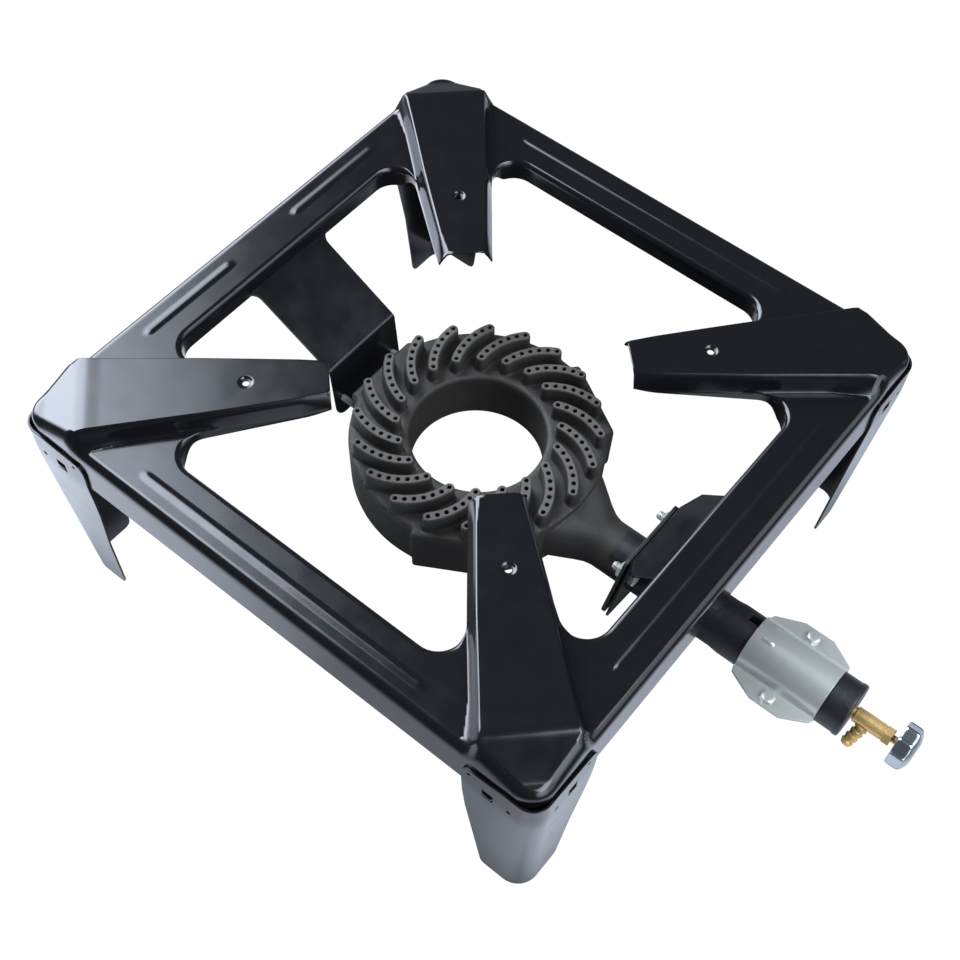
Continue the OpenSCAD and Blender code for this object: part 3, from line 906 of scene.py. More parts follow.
def make_burner(mats):
    S = Shape()
    # ring body, from the bore over the deck and down the outside
    O = body_outline()
    a = np.arange(360) * 2 * math.pi / 360
    cs = np.stack([np.cos(a), np.sin(a)], 1)
    prof = [(0, -0.6, B0 + 0.2), (0, 0.0, B0 + 3), (0, 0.5, DECK - 4.2), (0, 0.1, DECK - 2.0), (0, -1.0, DECK - 0.7), (0, -2.8, DECK - 0.1), (0, -5.0, DECK)]
    rings = [flat3(O + cs * g, z) for _, g, z in prof]
    rings += [flat3(cs * (BORE + d), z) for d, z in ((4.5, DECK), (2.3, DECK - 0.2), (0.8, DECK - 1.1), (0.1, DECK - 2.8), (0.0, DECK - 6), (0.0, B0 + 1), (0.5, B0))]
    rings.append(rings[0] * [1, 1, 0] + [0, 0, B0])
    V, F = loft(rings, False, False)
    n, k = 360, len(rings)
    F = [f for f in F]
    for i in range(n):
        j = (i + 1) % n
        F.append(((k - 1) * n + i, (k - 1) * n + j, j, i))
    S.add(V, F, angle=40)
    rib = make_rib()
    for i in range(20):
        S.add(rib[0], rib[1], angle=38, closed=False, xf=rot_about((0, 0, 1), 0.9 + 18 * i, (0, 0, 0)))
    # neck between ring and tube
    ys = np.linspace(-68, -124, 29)
    rings = []
    b = np.arange(64) * 2 * math.pi / 64
    for y in ys:
        t = float(smooth((-y - 76) / 42))
        hw = float(np.interp(-y, [66, 73, 80, 88, 96, 102, 108, 124], [38.5, 34.6, 31.0, 26.0, 21.2, 18.4, 17.2, 17.2]))
        hz = 18.0 + (17.2 - 18.0) * t
        zc = 99.0 + (AX - 99.0) * float(smooth((-y - 74) / 36))
        e = 2 / (4.5 + (2 - 4.5) * float(smooth((-y - 76) / 32)))
        cx = np.sign(np.cos(b)) * np.abs(np.cos(b)) ** e * hw
        cz = np.sign(np.sin(b)) * np.abs(np.sin(b)) ** e * hz
        rings.append(np.column_stack([cx, np.full(64, y), zc + cz]))
    S.add(*loft(rings), angle=50)
    # tube with its air slots, unrolled
    y0, y1 = -292.0, -118.0

    def rad(y):
        return 17.2 + 0.7 * smooth((-y - 199) / 7) + 0.5 * smooth((-y - 289.2) / 0.8)

    def slot(a, ya, yb, w, r=1.2):
        h = w / 2 / 17.9
        P = []
        rr = r / 17.9
        for cx, cy, a0 in ((a + h - rr, yb - r, 0), (a - h + rr, yb - r, 90), (a - h + rr, ya + r, 180), (a + h - rr, ya + r, 270)):
            for i in range(5):
                t = math.radians(a0 + 22.5 * i)
                P.append(((cx + rr * math.cos(t)) * 18, cy + r * math.sin(t)))
        return np.array(P)

    # the unrolled coordinate is 18 * angle, with the angle from +Z towards +X
    holes = [slot(math.radians(c), -252, -212, 7) for c in (17, -163)]
    W = math.pi * 18
    outer = divide([[-W, y0], [W, y0], [W, y1], [-W, y1]], 2.0)
    lines = [divide([[x, y0], [x, y1]], 12.0, False) for x in np.linspace(-W, W, 73)[1:-1]]
    lines += [divide([[-W, y], [W, y]], 3.0, False) for y in (-291.0, -290.0, -289.6, -289.2, -206, -204.8, -203, -201, -199)]
    V2, F2 = cdt(outer, holes, lines=lines)
    th, yy = V2[:, 0] / 18, V2[:, 1]
    N = np.stack([np.sin(th), np.zeros_like(th), np.cos(th)], 1)
    V = N * rad(yy)[:, None]
    V[:, 1] = yy
    V[:, 2] += AX
    V, N, F = weld(V, N, [tuple(f) for f in F2.tolist()])
    fn = face_normals(V, F)
    if (fn * N[[f[0] for f in F]]).sum() < 0:
        F = [tuple(reversed(f)) for f in F]
    S.add(*_vfn(thicken(V, N, F, 3.6, 0.3)), mat=1)
    P = [(3.15, 288.5), (3.15, 293.5), (16.9, 293.5), (17.8, 293.25), (18.3, 292.7), (18.4, 291.8), (14.0, 291.8), (14.0, 288.5)]
    S.add(*lathe(P, 72, close=True), angle=40, mat=1, xf=frame_to((0, 0, AX), (0, -1, 0), (1, 0, 0)))
    # its flange and the two bosses
    o = [(-27, 133), (27, 133), (45.5, 103), (45.3, 101), (44.3, 100), (18, 96), (-18, 96), (-44.3, 100), (-45.3, 101), (-45.5, 103)]
    hole = [(16 * math.cos(t), AX + 16 * math.sin(t)) for t in np.linspace(0, 2 * math.pi, 41)[:-1]]
    V2, F2 = cdt(divide(o, 4.0), [np.array([h for h in hole])] if False else [])
    V = np.stack([V2[:, 0], np.full(len(V2), -136.0), V2[:, 1]], 1)
    F = [tuple(reversed(f)) for f in F2.tolist()]
    S.add(*_vfn(thicken(V, np.tile([0, 1.0, 0], (len(V), 1)), F, 2.6, 0.5)), mat=1)
    for s in (-1, 1):
        S.add(*lathe([(0, 0), (5.5, 0), (5.5, 3.3), (0, 3.3)], 32), mat=1, xf=along_y(-137, 24 * s, 119))
    return S.build("ring_burner", mats, "stand", ["burner"])


# ------------------------------------------------------------------ front bracket


def make_bracket(mat):
    path, L, marks = bend_path([(-166.6, 172.5), (-166.6, 162.4), (-140.3, 138.9), (-140.3, 95.0)], [3.0, 2.0])

    def f(s):
        y, z, dy, dz = path(s)
        return y, z, -dz, dy

    def s_at(z):
        ss = np.linspace(0, L, 2000)
        zz = path(ss)[1]
        return float(ss[np.argmin(np.abs(zz - z))])

    s0, s1, s2, s3 = marks[0][0], marks[0][1], marks[1][0], marks[1][1]
    c = s_at(145.2)
    right = [[30, 0], [30, s0], [37.5, s1], [37.5, c], [25.0, s2 + 0.4], [25.0, s3], [46.8, s_at(102.0)], [46.7, s_at(101.0)], [46.0, s_at(100.0)], [21, s_at(96.2)]]
    sa = s_at(AX)
    r = 18.7
    arch = []
    a0 = math.asin((sa - s_at(96.2)) / r)
    for a in np.linspace(a0, math.pi - a0, 20):
        arch.append([r * math.cos(a), sa - r * math.sin(a)])
    o = right + arch + [[-x, s] for x, s in reversed(right)]
    us = [a + (b - a) * k / 6 for a, b in marks for k in range(7)] + [5.0, s1 + 8, s1 + 16, s3 + 8, s3 + 18, s3 + 28]
    S = Shape()
    S.add(*_vfn(bent(f, o, us=sorted(us), step=3.0)))
    # weld beads between the upstand and the lip
    for x in (-24.0, 4.0, 26.0):
        P = [(0, -1.1), (1.3, -0.9), (1.9, 0), (1.3, 0.9), (0, 1.1)]
        V, F = lathe(P, 14)
        V = V * [2.4, 1.0, 0.8]
        S.add(V, F, angle=60, xf=frame_to((x, -165.2, 161.6), (0, 0.5, 1)))
    return S.build("burner_bracket", [mat], "stand", ["front_bracket"])


# ------------------------------------------------------------------ air sleeve


def make_sleeve(name, node, upper, mat):
    R, t = 19.3, 1.1
    zf = 93.75
    # half of the section, from the top of the barrel to the flange tip, as (x, z, nx, nz)
    sec = []
    f = 2.0
    # fillet of radius f outside the barrel, tangent to circle R and to z = zf
    zc = zf + f
    xc = math.sqrt((R + f) ** 2 - (zc - AX) ** 2)
    a1 = math.atan2(zc - AX, xc)
    for a in np.linspace(math.pi / 2, a1, 22):
        sec.append((R * math.cos(a), AX + R * math.sin(a), math.cos(a), math.sin(a)))
    b0, b1 = a1 + math.pi, 1.5 * math.pi
    for b in np.linspace(b0, b1, 7)[1:]:
        sec.append((xc + f * math.cos(b), zc + f * math.sin(b), -math.cos(b), -math.sin(b)))
    for x in np.linspace(xc, 32.5, 6)[1:]:
        sec.append((x, zf, 0.0, 1.0))
    sec = np.array(sec)
    full = np.concatenate([sec[:0:-1] * [-1, 1, -1, 1], sec])
    ds = np.hypot(np.diff(full[:, 0]), np.diff(full[:, 1]))
    s = np.concatenate([[0], np.cumsum(ds)])
    s -= s[-1] / 2
    S1 = s[-1]

    def s_x(x):
        m = s >= 0
        return float(np.interp(x, full[m, 0], s[m]))

    root = s_x(22.0)
    half = [[0, -277], [root, -277], [s_x(23.5), -276.6], [S1, -260], [S1, -239.5], [s_x(24.4), -221.6], [root, -220.5], [0, -220.5]]
    o = [p for p in half if p[0] > 0] + [[-p[0], p[1]] for p in reversed(half) if p[0] > 0]
    holes = []
    if upper:
        for x, ya in ((-3.0, -234.6), (10.0, -236.0)):
            c = s_x(abs(x)) * (1 if x > 0 else -1)
            holes.append(np.array([[c - 0.75, ya], [c + 0.75, ya], [c + 0.75, ya + 9], [c - 0.75, ya + 9]]))
    outer = divide(o, 3.0)
    lines = [divide([[v, -280], [v, -218]], 6.0, False) for v in s[1:-1]]
    V2, F = cdt(outer, [divide(h, 2.0) for h in holes], lines=lines)
    x = np.interp(V2[:, 0], s, full[:, 0])
    z = np.interp(V2[:, 0], s, full[:, 1])
    nx = np.interp(V2[:, 0], s, full[:, 2])
    nz = np.interp(V2[:, 0], s, full[:, 3])
    V = np.stack([x, V2[:, 1], z], 1)
    N = unit(np.stack([nx, np.zeros_like(nx), nz], 1))
    fn = face_normals(V, F)
    if (fn * N[F[:, 0]]).sum() < 0:
        F = F[:, ::-1]
    S = Shape()
    M = None
    if not upper:
        M = np.eye(4)
        M[2, 2], M[2, 3] = -1, 2 * AX
    S.add(*_vfn(thicken(V, N, [tuple(f) for f in F.tolist()], t, 0.22)), xf=M)
    if upper:
        # the small louvres over the two slits
        for x0, ya in ((-3.0, -234.6), (10.0, -236.0)):
            c = s_x(abs(x0)) * (1 if x0 > 0 else -1)
            rows = []
            for j in range(9):
                yy = ya + 9 * j / 8
                lift = 0.9 * math.sin(math.pi * j / 8) ** 0.6 if 0 < j < 8 else 0.0
                row = []
                for k, (w, l) in enumerate(((-2.6, 0.0), (-1.8, 0.35), (-0.9, 0.9), (0.2, 1.0))):
                    sv = c + w
                    px, pz = np.interp(sv, s, full[:, 0]), np.interp(sv, s, full[:, 1])
                    qx, qz = np.interp(sv, s, full[:, 2]), np.interp(sv, s, full[:, 3])
                    row.append((px + qx * (lift * l + 0.02), yy, pz + qz * (lift * l + 0.02)))
                rows.append(row)
            P = np.array(rows).reshape(-1, 3)
            F4 = []
            for j in range(8):
                for k in range(3):
                    F4.append((j * 4 + k, j * 4 + k + 1, (j + 1) * 4 + k + 1, (j + 1) * 4 + k))
            U = face_normals(P, F4)
            c0 = P.mean(0) - [0, P.mean(0)[1], AX]
            if (U.sum(0) @ c0) < 0:
                F4 = [tuple(reversed(f)) for f in F4]
                U = -U
            Nn = np.zeros_like(P)
            for f, uu in zip(F4, U):
                for i in f:
                    Nn[i] += uu
            S.add(*_vfn(thicken(P, unit(Nn), F4, 0.5, 0.12)))
    return S.build(name, [mat], "air_sleeve", [node])


# ------------------------------------------------------------------ materials


def nodes_of(mat):
    mat.use_nodes = True
    nt = mat.node_tree
    return nt, nt.nodes["Principled BSDF"]


def material(name, base, rough, metal=0.0, ior=1.5):
    m = bpy.data.materials.new(name)
    nt, b = nodes_of(m)
    b.inputs["Base Color"].default_value = (*base, 1)
    b.inputs["Roughness"].default_value = rough
    b.inputs["Metallic"].default_value = metal
    b.inputs["IOR"].default_value = ior
    return m, nt, b


def noise(nt, scale, detail=3.0, rough=0.5, coord=None, dist=0.0):
    if coord is None:
        tc = nt.nodes.new("ShaderNodeTexCoord")
        coord = tc.outputs["Object"]
    n = nt.nodes.new("ShaderNodeTexNoise")
    n.inputs["Scale"].default_value = scale
    n.inputs["Detail"].default_value = detail
    n.inputs["Roughness"].default_value = rough
    n.inputs["Distortion"].default_value = dist
    nt.links.new(coord, n.inputs["Vector"])
    return n.outputs["Fac"]


def ramp(nt, fac, stops, smoothly=False):
    r = nt.nodes.new("ShaderNodeValToRGB")
    if smoothly:
        r.color_ramp.interpolation = "EASE"
    e = r.color_ramp.elements
    while len(e) < len(stops):
        e.new(0.5)
    for k, (p, c) in enumerate(stops):
        e[k].position = p
        e[k].color = (*c, 1) if len(c) == 3 else c
    nt.links.new(fac, r.inputs["Fac"])
    return r.outputs["Color"]


def mapped(nt, fac, lo, hi, a=0.0, b=1.0):
    m = nt.nodes.new("ShaderNodeMapRange")
    m.inputs["From Min"].default_value = a
    m.inputs["From Max"].default_value = b
    m.inputs["To Min"].default_value = lo
    m.inputs["To Max"].default_value = hi
    nt.links.new(fac, m.inputs["Value"])
    return m.outputs["Result"]


def bump(nt, b, heights):
    """heights: (output, distance in metres, strength)."""
    prev = None
    for h, d, s in heights:
        n = nt.nodes.new("ShaderNodeBump")
        n.inputs["Strength"].default_value = s
        n.inputs["Distance"].default_value = d
        nt.links.new(h, n.inputs["Height"])
        if prev is not None:
            nt.links.new(prev, n.inputs["Normal"])
        prev = n.outputs["Normal"]
    nt.links.new(prev, b.inputs["Normal"])


def mix(nt, fac, a, c, mode="MIX"):
    m = nt.nodes.new("ShaderNodeMix")
    m.data_type = "RGBA"
    m.blend_type = mode
    if isinstance(fac, float):
        m.inputs[0].default_value = fac
    else:
        nt.links.new(fac, m.inputs[0])
    for k, v in ((6, a), (7, c)):
        if isinstance(v, tuple):
            m.inputs[k].default_value = (*v, 1)
        else:
            nt.links.new(v, m.inputs[k])
    return m.outputs[2]


def enamel():
    m, nt, b = material("black_enamel", (0.006, 0.006, 0.007), 0.14)
    big = noise(nt, 9.0, 2.0)
    specks = noise(nt, 420.0, 2.0, 0.6)
    dust = ramp(nt, specks, [(0.0, (0, 0, 0)), (0.735, (0, 0, 0)), (0.80, (1, 1, 1)), (1.0, (1, 1, 1))])
    patch = ramp(nt, noise(nt, 24.0, 3.0), [(0.0, (0, 0, 0)), (0.50, (0, 0, 0)), (0.66, (1, 1, 1)), (1.0, (1, 1, 1))])
    d = mix(nt, 1.0, dust, patch, "MULTIPLY")
    base = mix(nt, big, (0.0052, 0.0052, 0.0062), (0.0072, 0.0070, 0.0076))
    col = mix(nt, d, base, (0.032, 0.031, 0.030))
    nt.links.new(col, b.inputs["Base Color"])
    nt.links.new(mapped(nt, noise(nt, 60.0, 4.0), 0.11, 0.17, 0.3, 0.7), b.inputs["Roughness"])
    bump(nt, b, [(noise(nt, 1100.0, 2.0), 0.00003, 0.5), (noise(nt, 32.0, 1.0), 0.00035, 0.5)])
    return m


def iron():
    m, nt, b = material("burner_iron", (0.05, 0.046, 0.042), 0.62)
    tc = nt.nodes.new("ShaderNodeTexCoord")
    sep = nt.nodes.new("ShaderNodeSeparateXYZ")
    nt.links.new(tc.outputs["Object"], sep.inputs[0])
    z = sep.outputs["Z"]
    grain = noise(nt, 520.0, 5.0, 0.65)
    cloud = noise(nt, 46.0, 4.0, 0.6)
    low = mix(nt, cloud, (0.0125, 0.0108, 0.0088), (0.036, 0.0300, 0.0232))
    # painted highlight: the rib tops (above z 128.5 mm) are painted lighter, and the rib walls lighten upward from z
    # 120 mm towards the top colour; the mottled brown below is the deck's dusty colour
    top = mix(nt, grain, (0.032, 0.0290, 0.0250), (0.100, 0.090, 0.076))
    t = mapped(nt, z, 0.0, 1.0, 0.1285, 0.1300)
    side = mapped(nt, z, 0.0, 0.45, 0.120, 0.1285)
    mid = mix(nt, side, low, (0.060, 0.057, 0.053))
    col = mix(nt, t, mid, top)
    nt.links.new(col, b.inputs["Base Color"])
    nt.links.new(mapped(nt, grain, 0.48, 0.72, 0.3, 0.7), b.inputs["Roughness"])
    bump(nt, b, [(noise(nt, 900.0, 4.0, 0.7), 0.0002, 0.55), (noise(nt, 120.0, 3.0), 0.0004, 0.4)])
    return m


def tube_paint():
    m, nt, b = material("tube_paint", (0.009, 0.010, 0.013), 0.40)
    g = noise(nt, 300.0, 4.0, 0.6)
    col = mix(nt, noise(nt, 40.0, 3.0), (0.0065, 0.0070, 0.0095), (0.0140, 0.0140, 0.0160))
    nt.links.new(col, b.inputs["Base Color"])
    nt.links.new(mapped(nt, g, 0.36, 0.52, 0.3, 0.7), b.inputs["Roughness"])
    bump(nt, b, [(noise(nt, 700.0, 3.0, 0.6), 0.0001, 0.5), (noise(nt, 110.0, 2.0), 0.0003, 0.35)])
    return m


def zinc():
    m, nt, b = material("zinc", (0.84, 0.85, 0.77), 0.30, 0.55)
    c = mix(nt, noise(nt, 26.0, 1.0, 0.5), (0.52, 0.54, 0.495), (0.65, 0.66, 0.61))
    nt.links.new(c, b.inputs["Base Color"])
    return m


def brass():
    m, nt, b = material("brass", (0.74, 0.50, 0.20), 0.34, 0.55)
    c = mix(nt, noise(nt, 60.0, 2.0, 0.5), (0.70, 0.46, 0.17), (0.80, 0.55, 0.23))
    nt.links.new(c, b.inputs["Base Color"])
    nt.links.new(mapped(nt, noise(nt, 200.0, 3.0), 0.32, 0.38, 0.3, 0.7), b.inputs["Roughness"])
    bump(nt, b, [(noise(nt, 700.0, 2.0), 0.00002, 0.5)])
    return m


def chrome():
    m, nt, b = material("chrome", (0.50, 0.54, 0.56), 0.22, 0.95)
    c = mix(nt, noise(nt, 40.0, 1.0), (0.44, 0.49, 0.50), (0.54, 0.58, 0.59))
    nt.links.new(c, b.inputs["Base Color"])
    return m


def plain_mat(name, base, rough, scale=300.0):
    m, nt, b = material(name, base, rough)
    dark = tuple(c * 0.8 for c in base)
    nt.links.new(mix(nt, noise(nt, scale, 3.0), dark, base), b.inputs["Base Color"])
    bump(nt, b, [(noise(nt, scale * 3, 2.0), 0.00005, 0.4)])
    return m


M_EN, M_IRON, M_TUBE, M_ZN, M_BR, M_CR = enamel(), iron(), tube_paint(), zinc(), brass(), chrome()
M_RUB = plain_mat("rubber_black", (0.015, 0.015, 0.015), 0.6)
M_PACK = plain_mat("packing_white", (0.75, 0.74, 0.70), 0.5)

# ------------------------------------------------------------------ pieces

make_frame(M_EN, M_EN)
for name, node, k in (("leg_a", "leg_rear_right", 0), ("leg_b", "leg_rear_left", 1), ("leg_c", "leg_front_left", 2), ("leg_d", "leg_front_right", 3)):
    make_leg(name, node, k, M_EN, 2.85 if k == 2 else 0.0)
make_bracket(M_EN)
make_burner([M_IRON, M_TUBE])

S = Shape()
for s in (-1, 1):
    base = along_y(-141.8, 24 * s, 119.0)
    S.add(*hexagon(10.0, 0.0, 3.5, cham0=False, dome=0.25), angle=28, xf=base)
    S.add(*thread(3.0, 0.0, 14.1, 1.0), angle=30, xf=along_y(-141.8, 24 * s, 119.0, sign=1))
S.build("clip_bolt_pair", [M_ZN], "stand", ["clip_bolts"])
S = Shape()
for s in (-1, 1):
    S.add(*hexagon(10.0, 0.0, 3.5), angle=28, xf=along_y(-136.0, 24 * s, 119.0, sign=1))
S.build("clip_nut_pair", [M_ZN], "stand", ["clip_nuts"])
S = Shape()
for s in (-1, 1):
    S.add(*hexagon(8.0, 0.0, 3.0, cham0=False), angle=28, xf=along_y(98.7, 25.5 * s, 99.0, sign=1))
    S.add(*thread(2.4, 0.0, 18.2, 0.8), angle=30, xf=along_y(98.7, 25.5 * s, 99.0, sign=-1))
S.build("rear_screw_pair", [M_ZN], "stand", ["rear_screws"])

make_sleeve("sleeve_top", "sleeve_upper", True, M_ZN)
make_sleeve("sleeve_bottom", "sleeve_lower", False, M_ZN)
S = Shape()
for s in (-1, 1):
    at = (26.5 * s, -248.5, AX)
    S.add(*hexagon(8.0, 1.25, 4.1, cham0=False, dome=0.35), angle=28, xf=frame_to(at, (0, 0, 1), (1, 0.2 * s, 0)))
    S.add(*thread(2.5, 0.0, 8.0, 0.8), angle=30, xf=frame_to(at, (0, 0, -1), (1, 0, 0)))
S.build("sleeve_screw_pair", [M_ZN], "air_sleeve", ["sleeve_screws"])
S = Shape()
for s in (-1, 1):
    at = (26.5 * s, -248.5, AX)
    S.add(*hexagon(8.0, 1.25, 4.3), angle=28, xf=frame_to(at, (0, 0, -1), (1, 0.1, 0)))
S.build("sleeve_nut_pair", [M_ZN], "air_sleeve", ["sleeve_nuts"])

# valve body with its barb
S = Shape()
YA = frame_to((0, 0, AX), (0, -1, 0), (1, 0, 0))
S.add(*lathe([(0, 287), (2.6, 287), (3.1, 287.5), (3.1, 293.5), (4.2, 293.5), (4.2, 295.2), (4.9, 295.3), (5.2, 295.7), (5.2, 314.2), (4.8, 314.7), (4.0, 314.7), (4.0, 306.8), (0, 306.8)], 48), angle=30, xf=YA)
R = np.array([[-0.2928, 0.64, -0.7104], [0.768, 0.6, 0.224], [0.5696, -0.48, -0.6672]])
BM = np.eye(4)
BM[:3, :3] = R
BM[:3, 3] = (0, -304, AX)
S.add(*lathe([(0, 2), (3.3, 2), (3.3, 5), (3.9, 5.05), (4.3, 5.4), (4.3, 6.7), (3.9, 7.0), (3.3, 7.05), (3.3, 8.6), (4.05, 8.65), (4.2, 8.8), (4.2, 10.2), (3.3, 12.2), (3.3, 12.8),
              (4.05, 12.85), (4.2, 13.0), (4.2, 14.4), (3.3, 16.4), (3.3, 17.0), (4.0, 17.05), (4.15, 17.3), (3.9, 18.2), (2.9, 20.2), (2.3, 20.5), (1.5, 20.4), (1.5, 12.0), (0, 12.0)], 40), angle=30, xf=BM)
S.build("valve_casting", [M_BR], "stand", ["valve_body"])
S = Shape()
V, F = hexagon(10.83, 315.6, 320.8)
S.add(V, F, angle=28, xf=YA)
S.add(*lathe([(0, 311.6), (4.0, 311.6), (4.0, 314.7), (5.0, 314.7), (5.0, 315.7), (0, 315.7)], 40), angle=30, xf=YA)
S.build("gland_hexagon", [M_BR], "stand", ["gland_nut"])
S = Shape()
S.add(*lathe([(0, 303.4), (0.9, 303.4), (2.5, 305.6), (2.5, 324.0), (1.9, 324.05), (1.9, 335.7), (1.6, 336.0), (0, 336.0)], 32), angle=30, xf=YA)
S.build("valve_spindle", [M_BR], "handwheel", ["spindle"])


def make_knob():
    S = Shape()
    n = 360
    a = np.arange(n) * 2 * math.pi / n
    cs = np.stack([np.cos(a), np.sin(a)], 1)
    # nine wide shallow flutes with narrow ridges between them
    q = ((np.degrees(a) + 9.3) % 40.0) / 40.0 - 0.5
    dip = np.clip(1 - (q / 0.42) ** 2, 0, 1) ** 0.6

    def ring(r, z, d):
        return np.column_stack([cs * (r - d * dip)[:, None], np.full(n, z)])

    prof = [(12.2, 324.2, 0.1), (13.4, 324.0, 0.5), (14.4, 324.3, 0.8), (14.9, 325.1, 0.9), (15.0, 326.2, 0.95), (15.0, 331.2, 0.95), (14.9, 332.2, 0.95), (14.5, 333.1, 0.8), (13.8, 333.8, 0.5), (12.4, 334.6, 0.2),
            (10.0, 335.7, 0.0), (8.0, 336.3, 0.0), (6.2, 336.5, 0.0), (5.0, 336.4, 0.0), (4.6, 335.9, 0.0), (4.6, 333.6, 0.0)]
    rings = [ring(np.full(n, r), z, d) for r, z, d in prof]
    # the hollow back
    back = [(12.2, 324.2, 0.1), (12.1, 330.2, 0.1), (11.5, 330.7, 0.0), (5.2, 330.7, 0.0), (4.3, 330.2, 0.0), (4.2, 324.2, 0.0), (3.9, 324.0, 0.0), (1.95, 324.0, 0.0)]
    inner = [ring(np.full(n, r), z, d) for r, z, d in back]
    V1, F1 = loft(inner[::-1] + rings[1:] + [ring(np.full(n, 1.95), 333.6, 0.0)], False, False)
    m = len(V1) // n
    for i in range(n):
        j = (i + 1) % n
        F1.append(((m - 1) * n + i, (m - 1) * n + j, j, i))
    S.add(V1, F1, angle=32, xf=YA)
    return S.build("fluted_knob", [M_CR], "handwheel", ["knob"])


make_knob()
S = Shape()
S.add(*hexagon(6.93, 333.6, 335.6), angle=28, xf=YA)
S.build("knob_hexagon", [M_ZN], "handwheel", ["knob_nut"])

for node, m in (("jet", M_BR), ("gland_packing", M_PACK), ("stem_seal", M_RUB)):
    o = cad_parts[node]
    o.data.materials.clear()
    o.data.materials.append(m)

# ------------------------------------------------------------------ stage, light and camera

sc = bpy.context.scene
sc.view_settings.view_transform = "Standard"
sc.view_settings.look = "None"
sc.view_settings.exposure = 0.0

me = bpy.data.meshes.new("floor")
me.from_pydata([(-6, -6, -0.0002), (6, -6, -0.0002), (6, 6, -0.0002), (-6, 6, -0.0002)], [], [(0, 1, 2, 3)])
floor = bpy.data.objects.new("floor", me)
sc.collection.objects.link(floor)
fm, nt, b = material("studio_floor", (0.02, 0.02, 0.02), 0.9)
b.inputs["Specular IOR Level"].default_value = 0.0
b.inputs["Emission Color"].default_value = (1.0, 1.0, 1.0, 1)
# white to the camera; in reflections it glows with painted light instead of being lit: a painted shadow under the
# stand, and it dims far away, as a lit table does
tc = nt.nodes.new("ShaderNodeTexCoord")
sep = nt.nodes.new("ShaderNodeSeparateXYZ")
nt.links.new(tc.outputs["Object"], sep.inputs[0])


def math_node(nt, op, a, c=None):
    n = nt.nodes.new("ShaderNodeMath")
    n.operation = op
    for k, v in enumerate((a, c)):
        if v is None:
            continue
        if isinstance(v, float):
            n.inputs[k].default_value = v
        else:
            nt.links.new(v, n.inputs[k])
    return n.outputs[0]


def grey(v):
    return (v, v, v)


def cool(v):
    return (0.88 * v, 0.97 * v, 1.13 * v)


# painted shadow: the reflected glow is dark under the stand out to 0.175 m from the centre, bright just outside it,
# then dimmer further off
far = math_node(nt, "MAXIMUM", math_node(nt, "ABSOLUTE", sep.outputs["X"]), math_node(nt, "ABSOLUTE", sep.outputs["Y"]))
painted_shadow_glow = ramp(nt, far, [(0.0, cool(0.05)), (0.175, cool(0.07)), (0.205, cool(0.75)), (0.235, cool(0.95)), (0.40, cool(0.95)), (0.56, cool(0.20)), (0.9, cool(0.07)), (1.0, cool(0.07))])
# painted light: the table glows more strongly towards the back, as if lit more strongly there
lit = ramp(nt, mapped(nt, sep.outputs["Y"], 0.0, 1.0, -0.5, 0.5), [(0.0, grey(0.33)), (0.29, grey(0.33)), (0.34, grey(0.21)), (0.36, grey(0.16)), (0.50, grey(0.165)), (0.63, grey(0.41)), (0.75, grey(0.56)), (0.79, grey(0.74)), (1.0, grey(0.74))])
side = ramp(nt, mapped(nt, sep.outputs["X"], 0.0, 1.0, -0.5, 0.5), [(0.0, grey(0.90)), (0.35, grey(0.90)), (0.50, grey(0.68)), (0.70, grey(0.63)), (1.0, grey(0.63))])
lit = math_node(nt, "MULTIPLY", math_node(nt, "MULTIPLY", lit, side), 3.75)
lp = nt.nodes.new("ShaderNodeLightPath")
nt.links.new(mix(nt, lp.outputs["Is Camera Ray"], painted_shadow_glow, (1.0, 1.0, 1.0)), b.inputs["Emission Color"])
nt.links.new(mix(nt, lp.outputs["Is Camera Ray"], lit, (1.0, 1.0, 1.0)), b.inputs["Emission Strength"])
me.materials.append(fm)

w = bpy.data.worlds.new("studio")
sc.world = w
w.use_nodes = True
nt = w.node_tree
nt.nodes.clear()
tc = nt.nodes.new("ShaderNodeTexCoord")
sep = nt.nodes.new("ShaderNodeSeparateXYZ")
nt.links.new(tc.outputs["Generated"], sep.inputs[0])
at = nt.nodes.new("ShaderNodeMath")
at.operation = "ARCTAN2"
nt.links.new(sep.outputs["Y"], at.inputs[0])
nt.links.new(sep.outputs["X"], at.inputs[1])
azf = mapped(nt, at.outputs[0], 0.0, 1.0, -math.pi, math.pi)


def azp(deg):
    return (deg + 180) / 360


# one long soft box at the right and behind, a small one overhead and a faint one in front
azr = ramp(nt, azf, [(0.0, grey(0.0)), (azp(44), grey(0.0)), (azp(50), grey(0.022)), (azp(52), grey(0.10)), (azp(54), grey(0.25)), (azp(56), grey(0.40)), (azp(60), grey(0.60)),
                     (azp(70), grey(0.82)), (azp(80), grey(1.0)), (azp(100), grey(1.0)), (azp(112), grey(0.0)), (1.0, grey(0.0))])
elr = ramp(nt, sep.outputs["Z"], [(0.0, grey(0.30)), (0.20, grey(1.0)), (0.895, grey(1.0)), (0.94, grey(0.0)), (1.0, grey(0.0))])
soft = math_node(nt, "MULTIPLY", math_node(nt, "MULTIPLY", azr, elr), 12.0)
zer = ramp(nt, azf, [(0.0, grey(0.0)), (azp(-112), grey(0.0)), (azp(-104), grey(1.0)), (azp(-58), grey(1.0)), (azp(-48), grey(0.0)), (1.0, grey(0.0))])
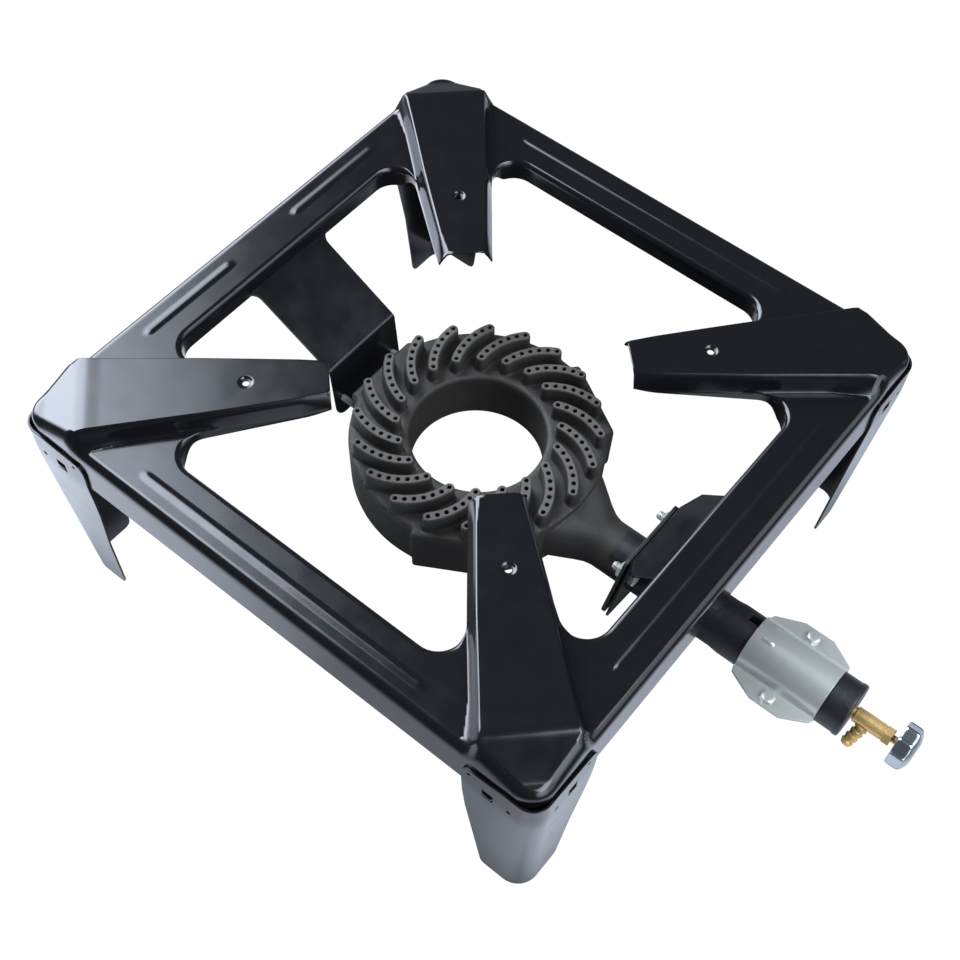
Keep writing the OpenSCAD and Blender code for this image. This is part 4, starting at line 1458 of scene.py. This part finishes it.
zen = math_node(nt, "MULTIPLY", math_node(nt, "MULTIPLY", zer, ramp(nt, sep.outputs["Z"], [(0.0, grey(0.0)), (0.70, grey(0.0)), (0.76, grey(1.0)), (0.966, grey(1.0)), (0.974, grey(0.0)), (1.0, grey(0.0))])), 8.0)
frz = ramp(nt, azf, [(0.0, grey(0.0)), (azp(-128), grey(0.0)), (azp(-117), grey(1.0)), (azp(-97), grey(1.0)), (azp(-88), grey(0.5)), (azp(-45), grey(0.5)), (azp(-30), grey(0.0)), (1.0, grey(0.0))])
fre = ramp(nt, sep.outputs["Z"], [(0.0, grey(0.2)), (0.34, grey(1.0)), (0.74, grey(1.0)), (0.80, grey(0.0)), (1.0, grey(0.0))])
front = math_node(nt, "MULTIPLY", math_node(nt, "MULTIPLY", frz, fre), 4.0)
total = math_node(nt, "ADD", math_node(nt, "ADD", soft, zen), math_node(nt, "ADD", front, 0.06))
bg = nt.nodes.new("ShaderNodeBackground")
bg.inputs["Color"].default_value = (0.88, 0.97, 1.12, 1)
nt.links.new(total, bg.inputs["Strength"])
white = nt.nodes.new("ShaderNodeBackground")
white.inputs["Color"].default_value = (1, 1, 1, 1)
white.inputs["Strength"].default_value = 1.0
lp = nt.nodes.new("ShaderNodeLightPath")
mx = nt.nodes.new("ShaderNodeMixShader")
nt.links.new(lp.outputs["Is Camera Ray"], mx.inputs[0])
nt.links.new(bg.outputs[0], mx.inputs[1])
nt.links.new(white.outputs[0], mx.inputs[2])
wo = nt.nodes.new("ShaderNodeOutputWorld")
nt.links.new(mx.outputs[0], wo.inputs["Surface"])

cam = bpy.data.cameras.new("camera")
cam.lens = 55.85
cam.sensor_width = 36.0
cam.sensor_fit = "HORIZONTAL"
cam.clip_start = 0.05
cam.clip_end = 50
co = bpy.data.objects.new("camera", cam)
M = Matrix(((0.62830, 0.63995, -0.44239, -0.4519), (-0.77748, 0.53686, -0.32760, -0.3381), (0.02785, 0.54978, 0.83485, 0.9175), (0, 0, 0, 1)))
sc.collection.objects.link(co)
co.matrix_world = M
sc.camera = co
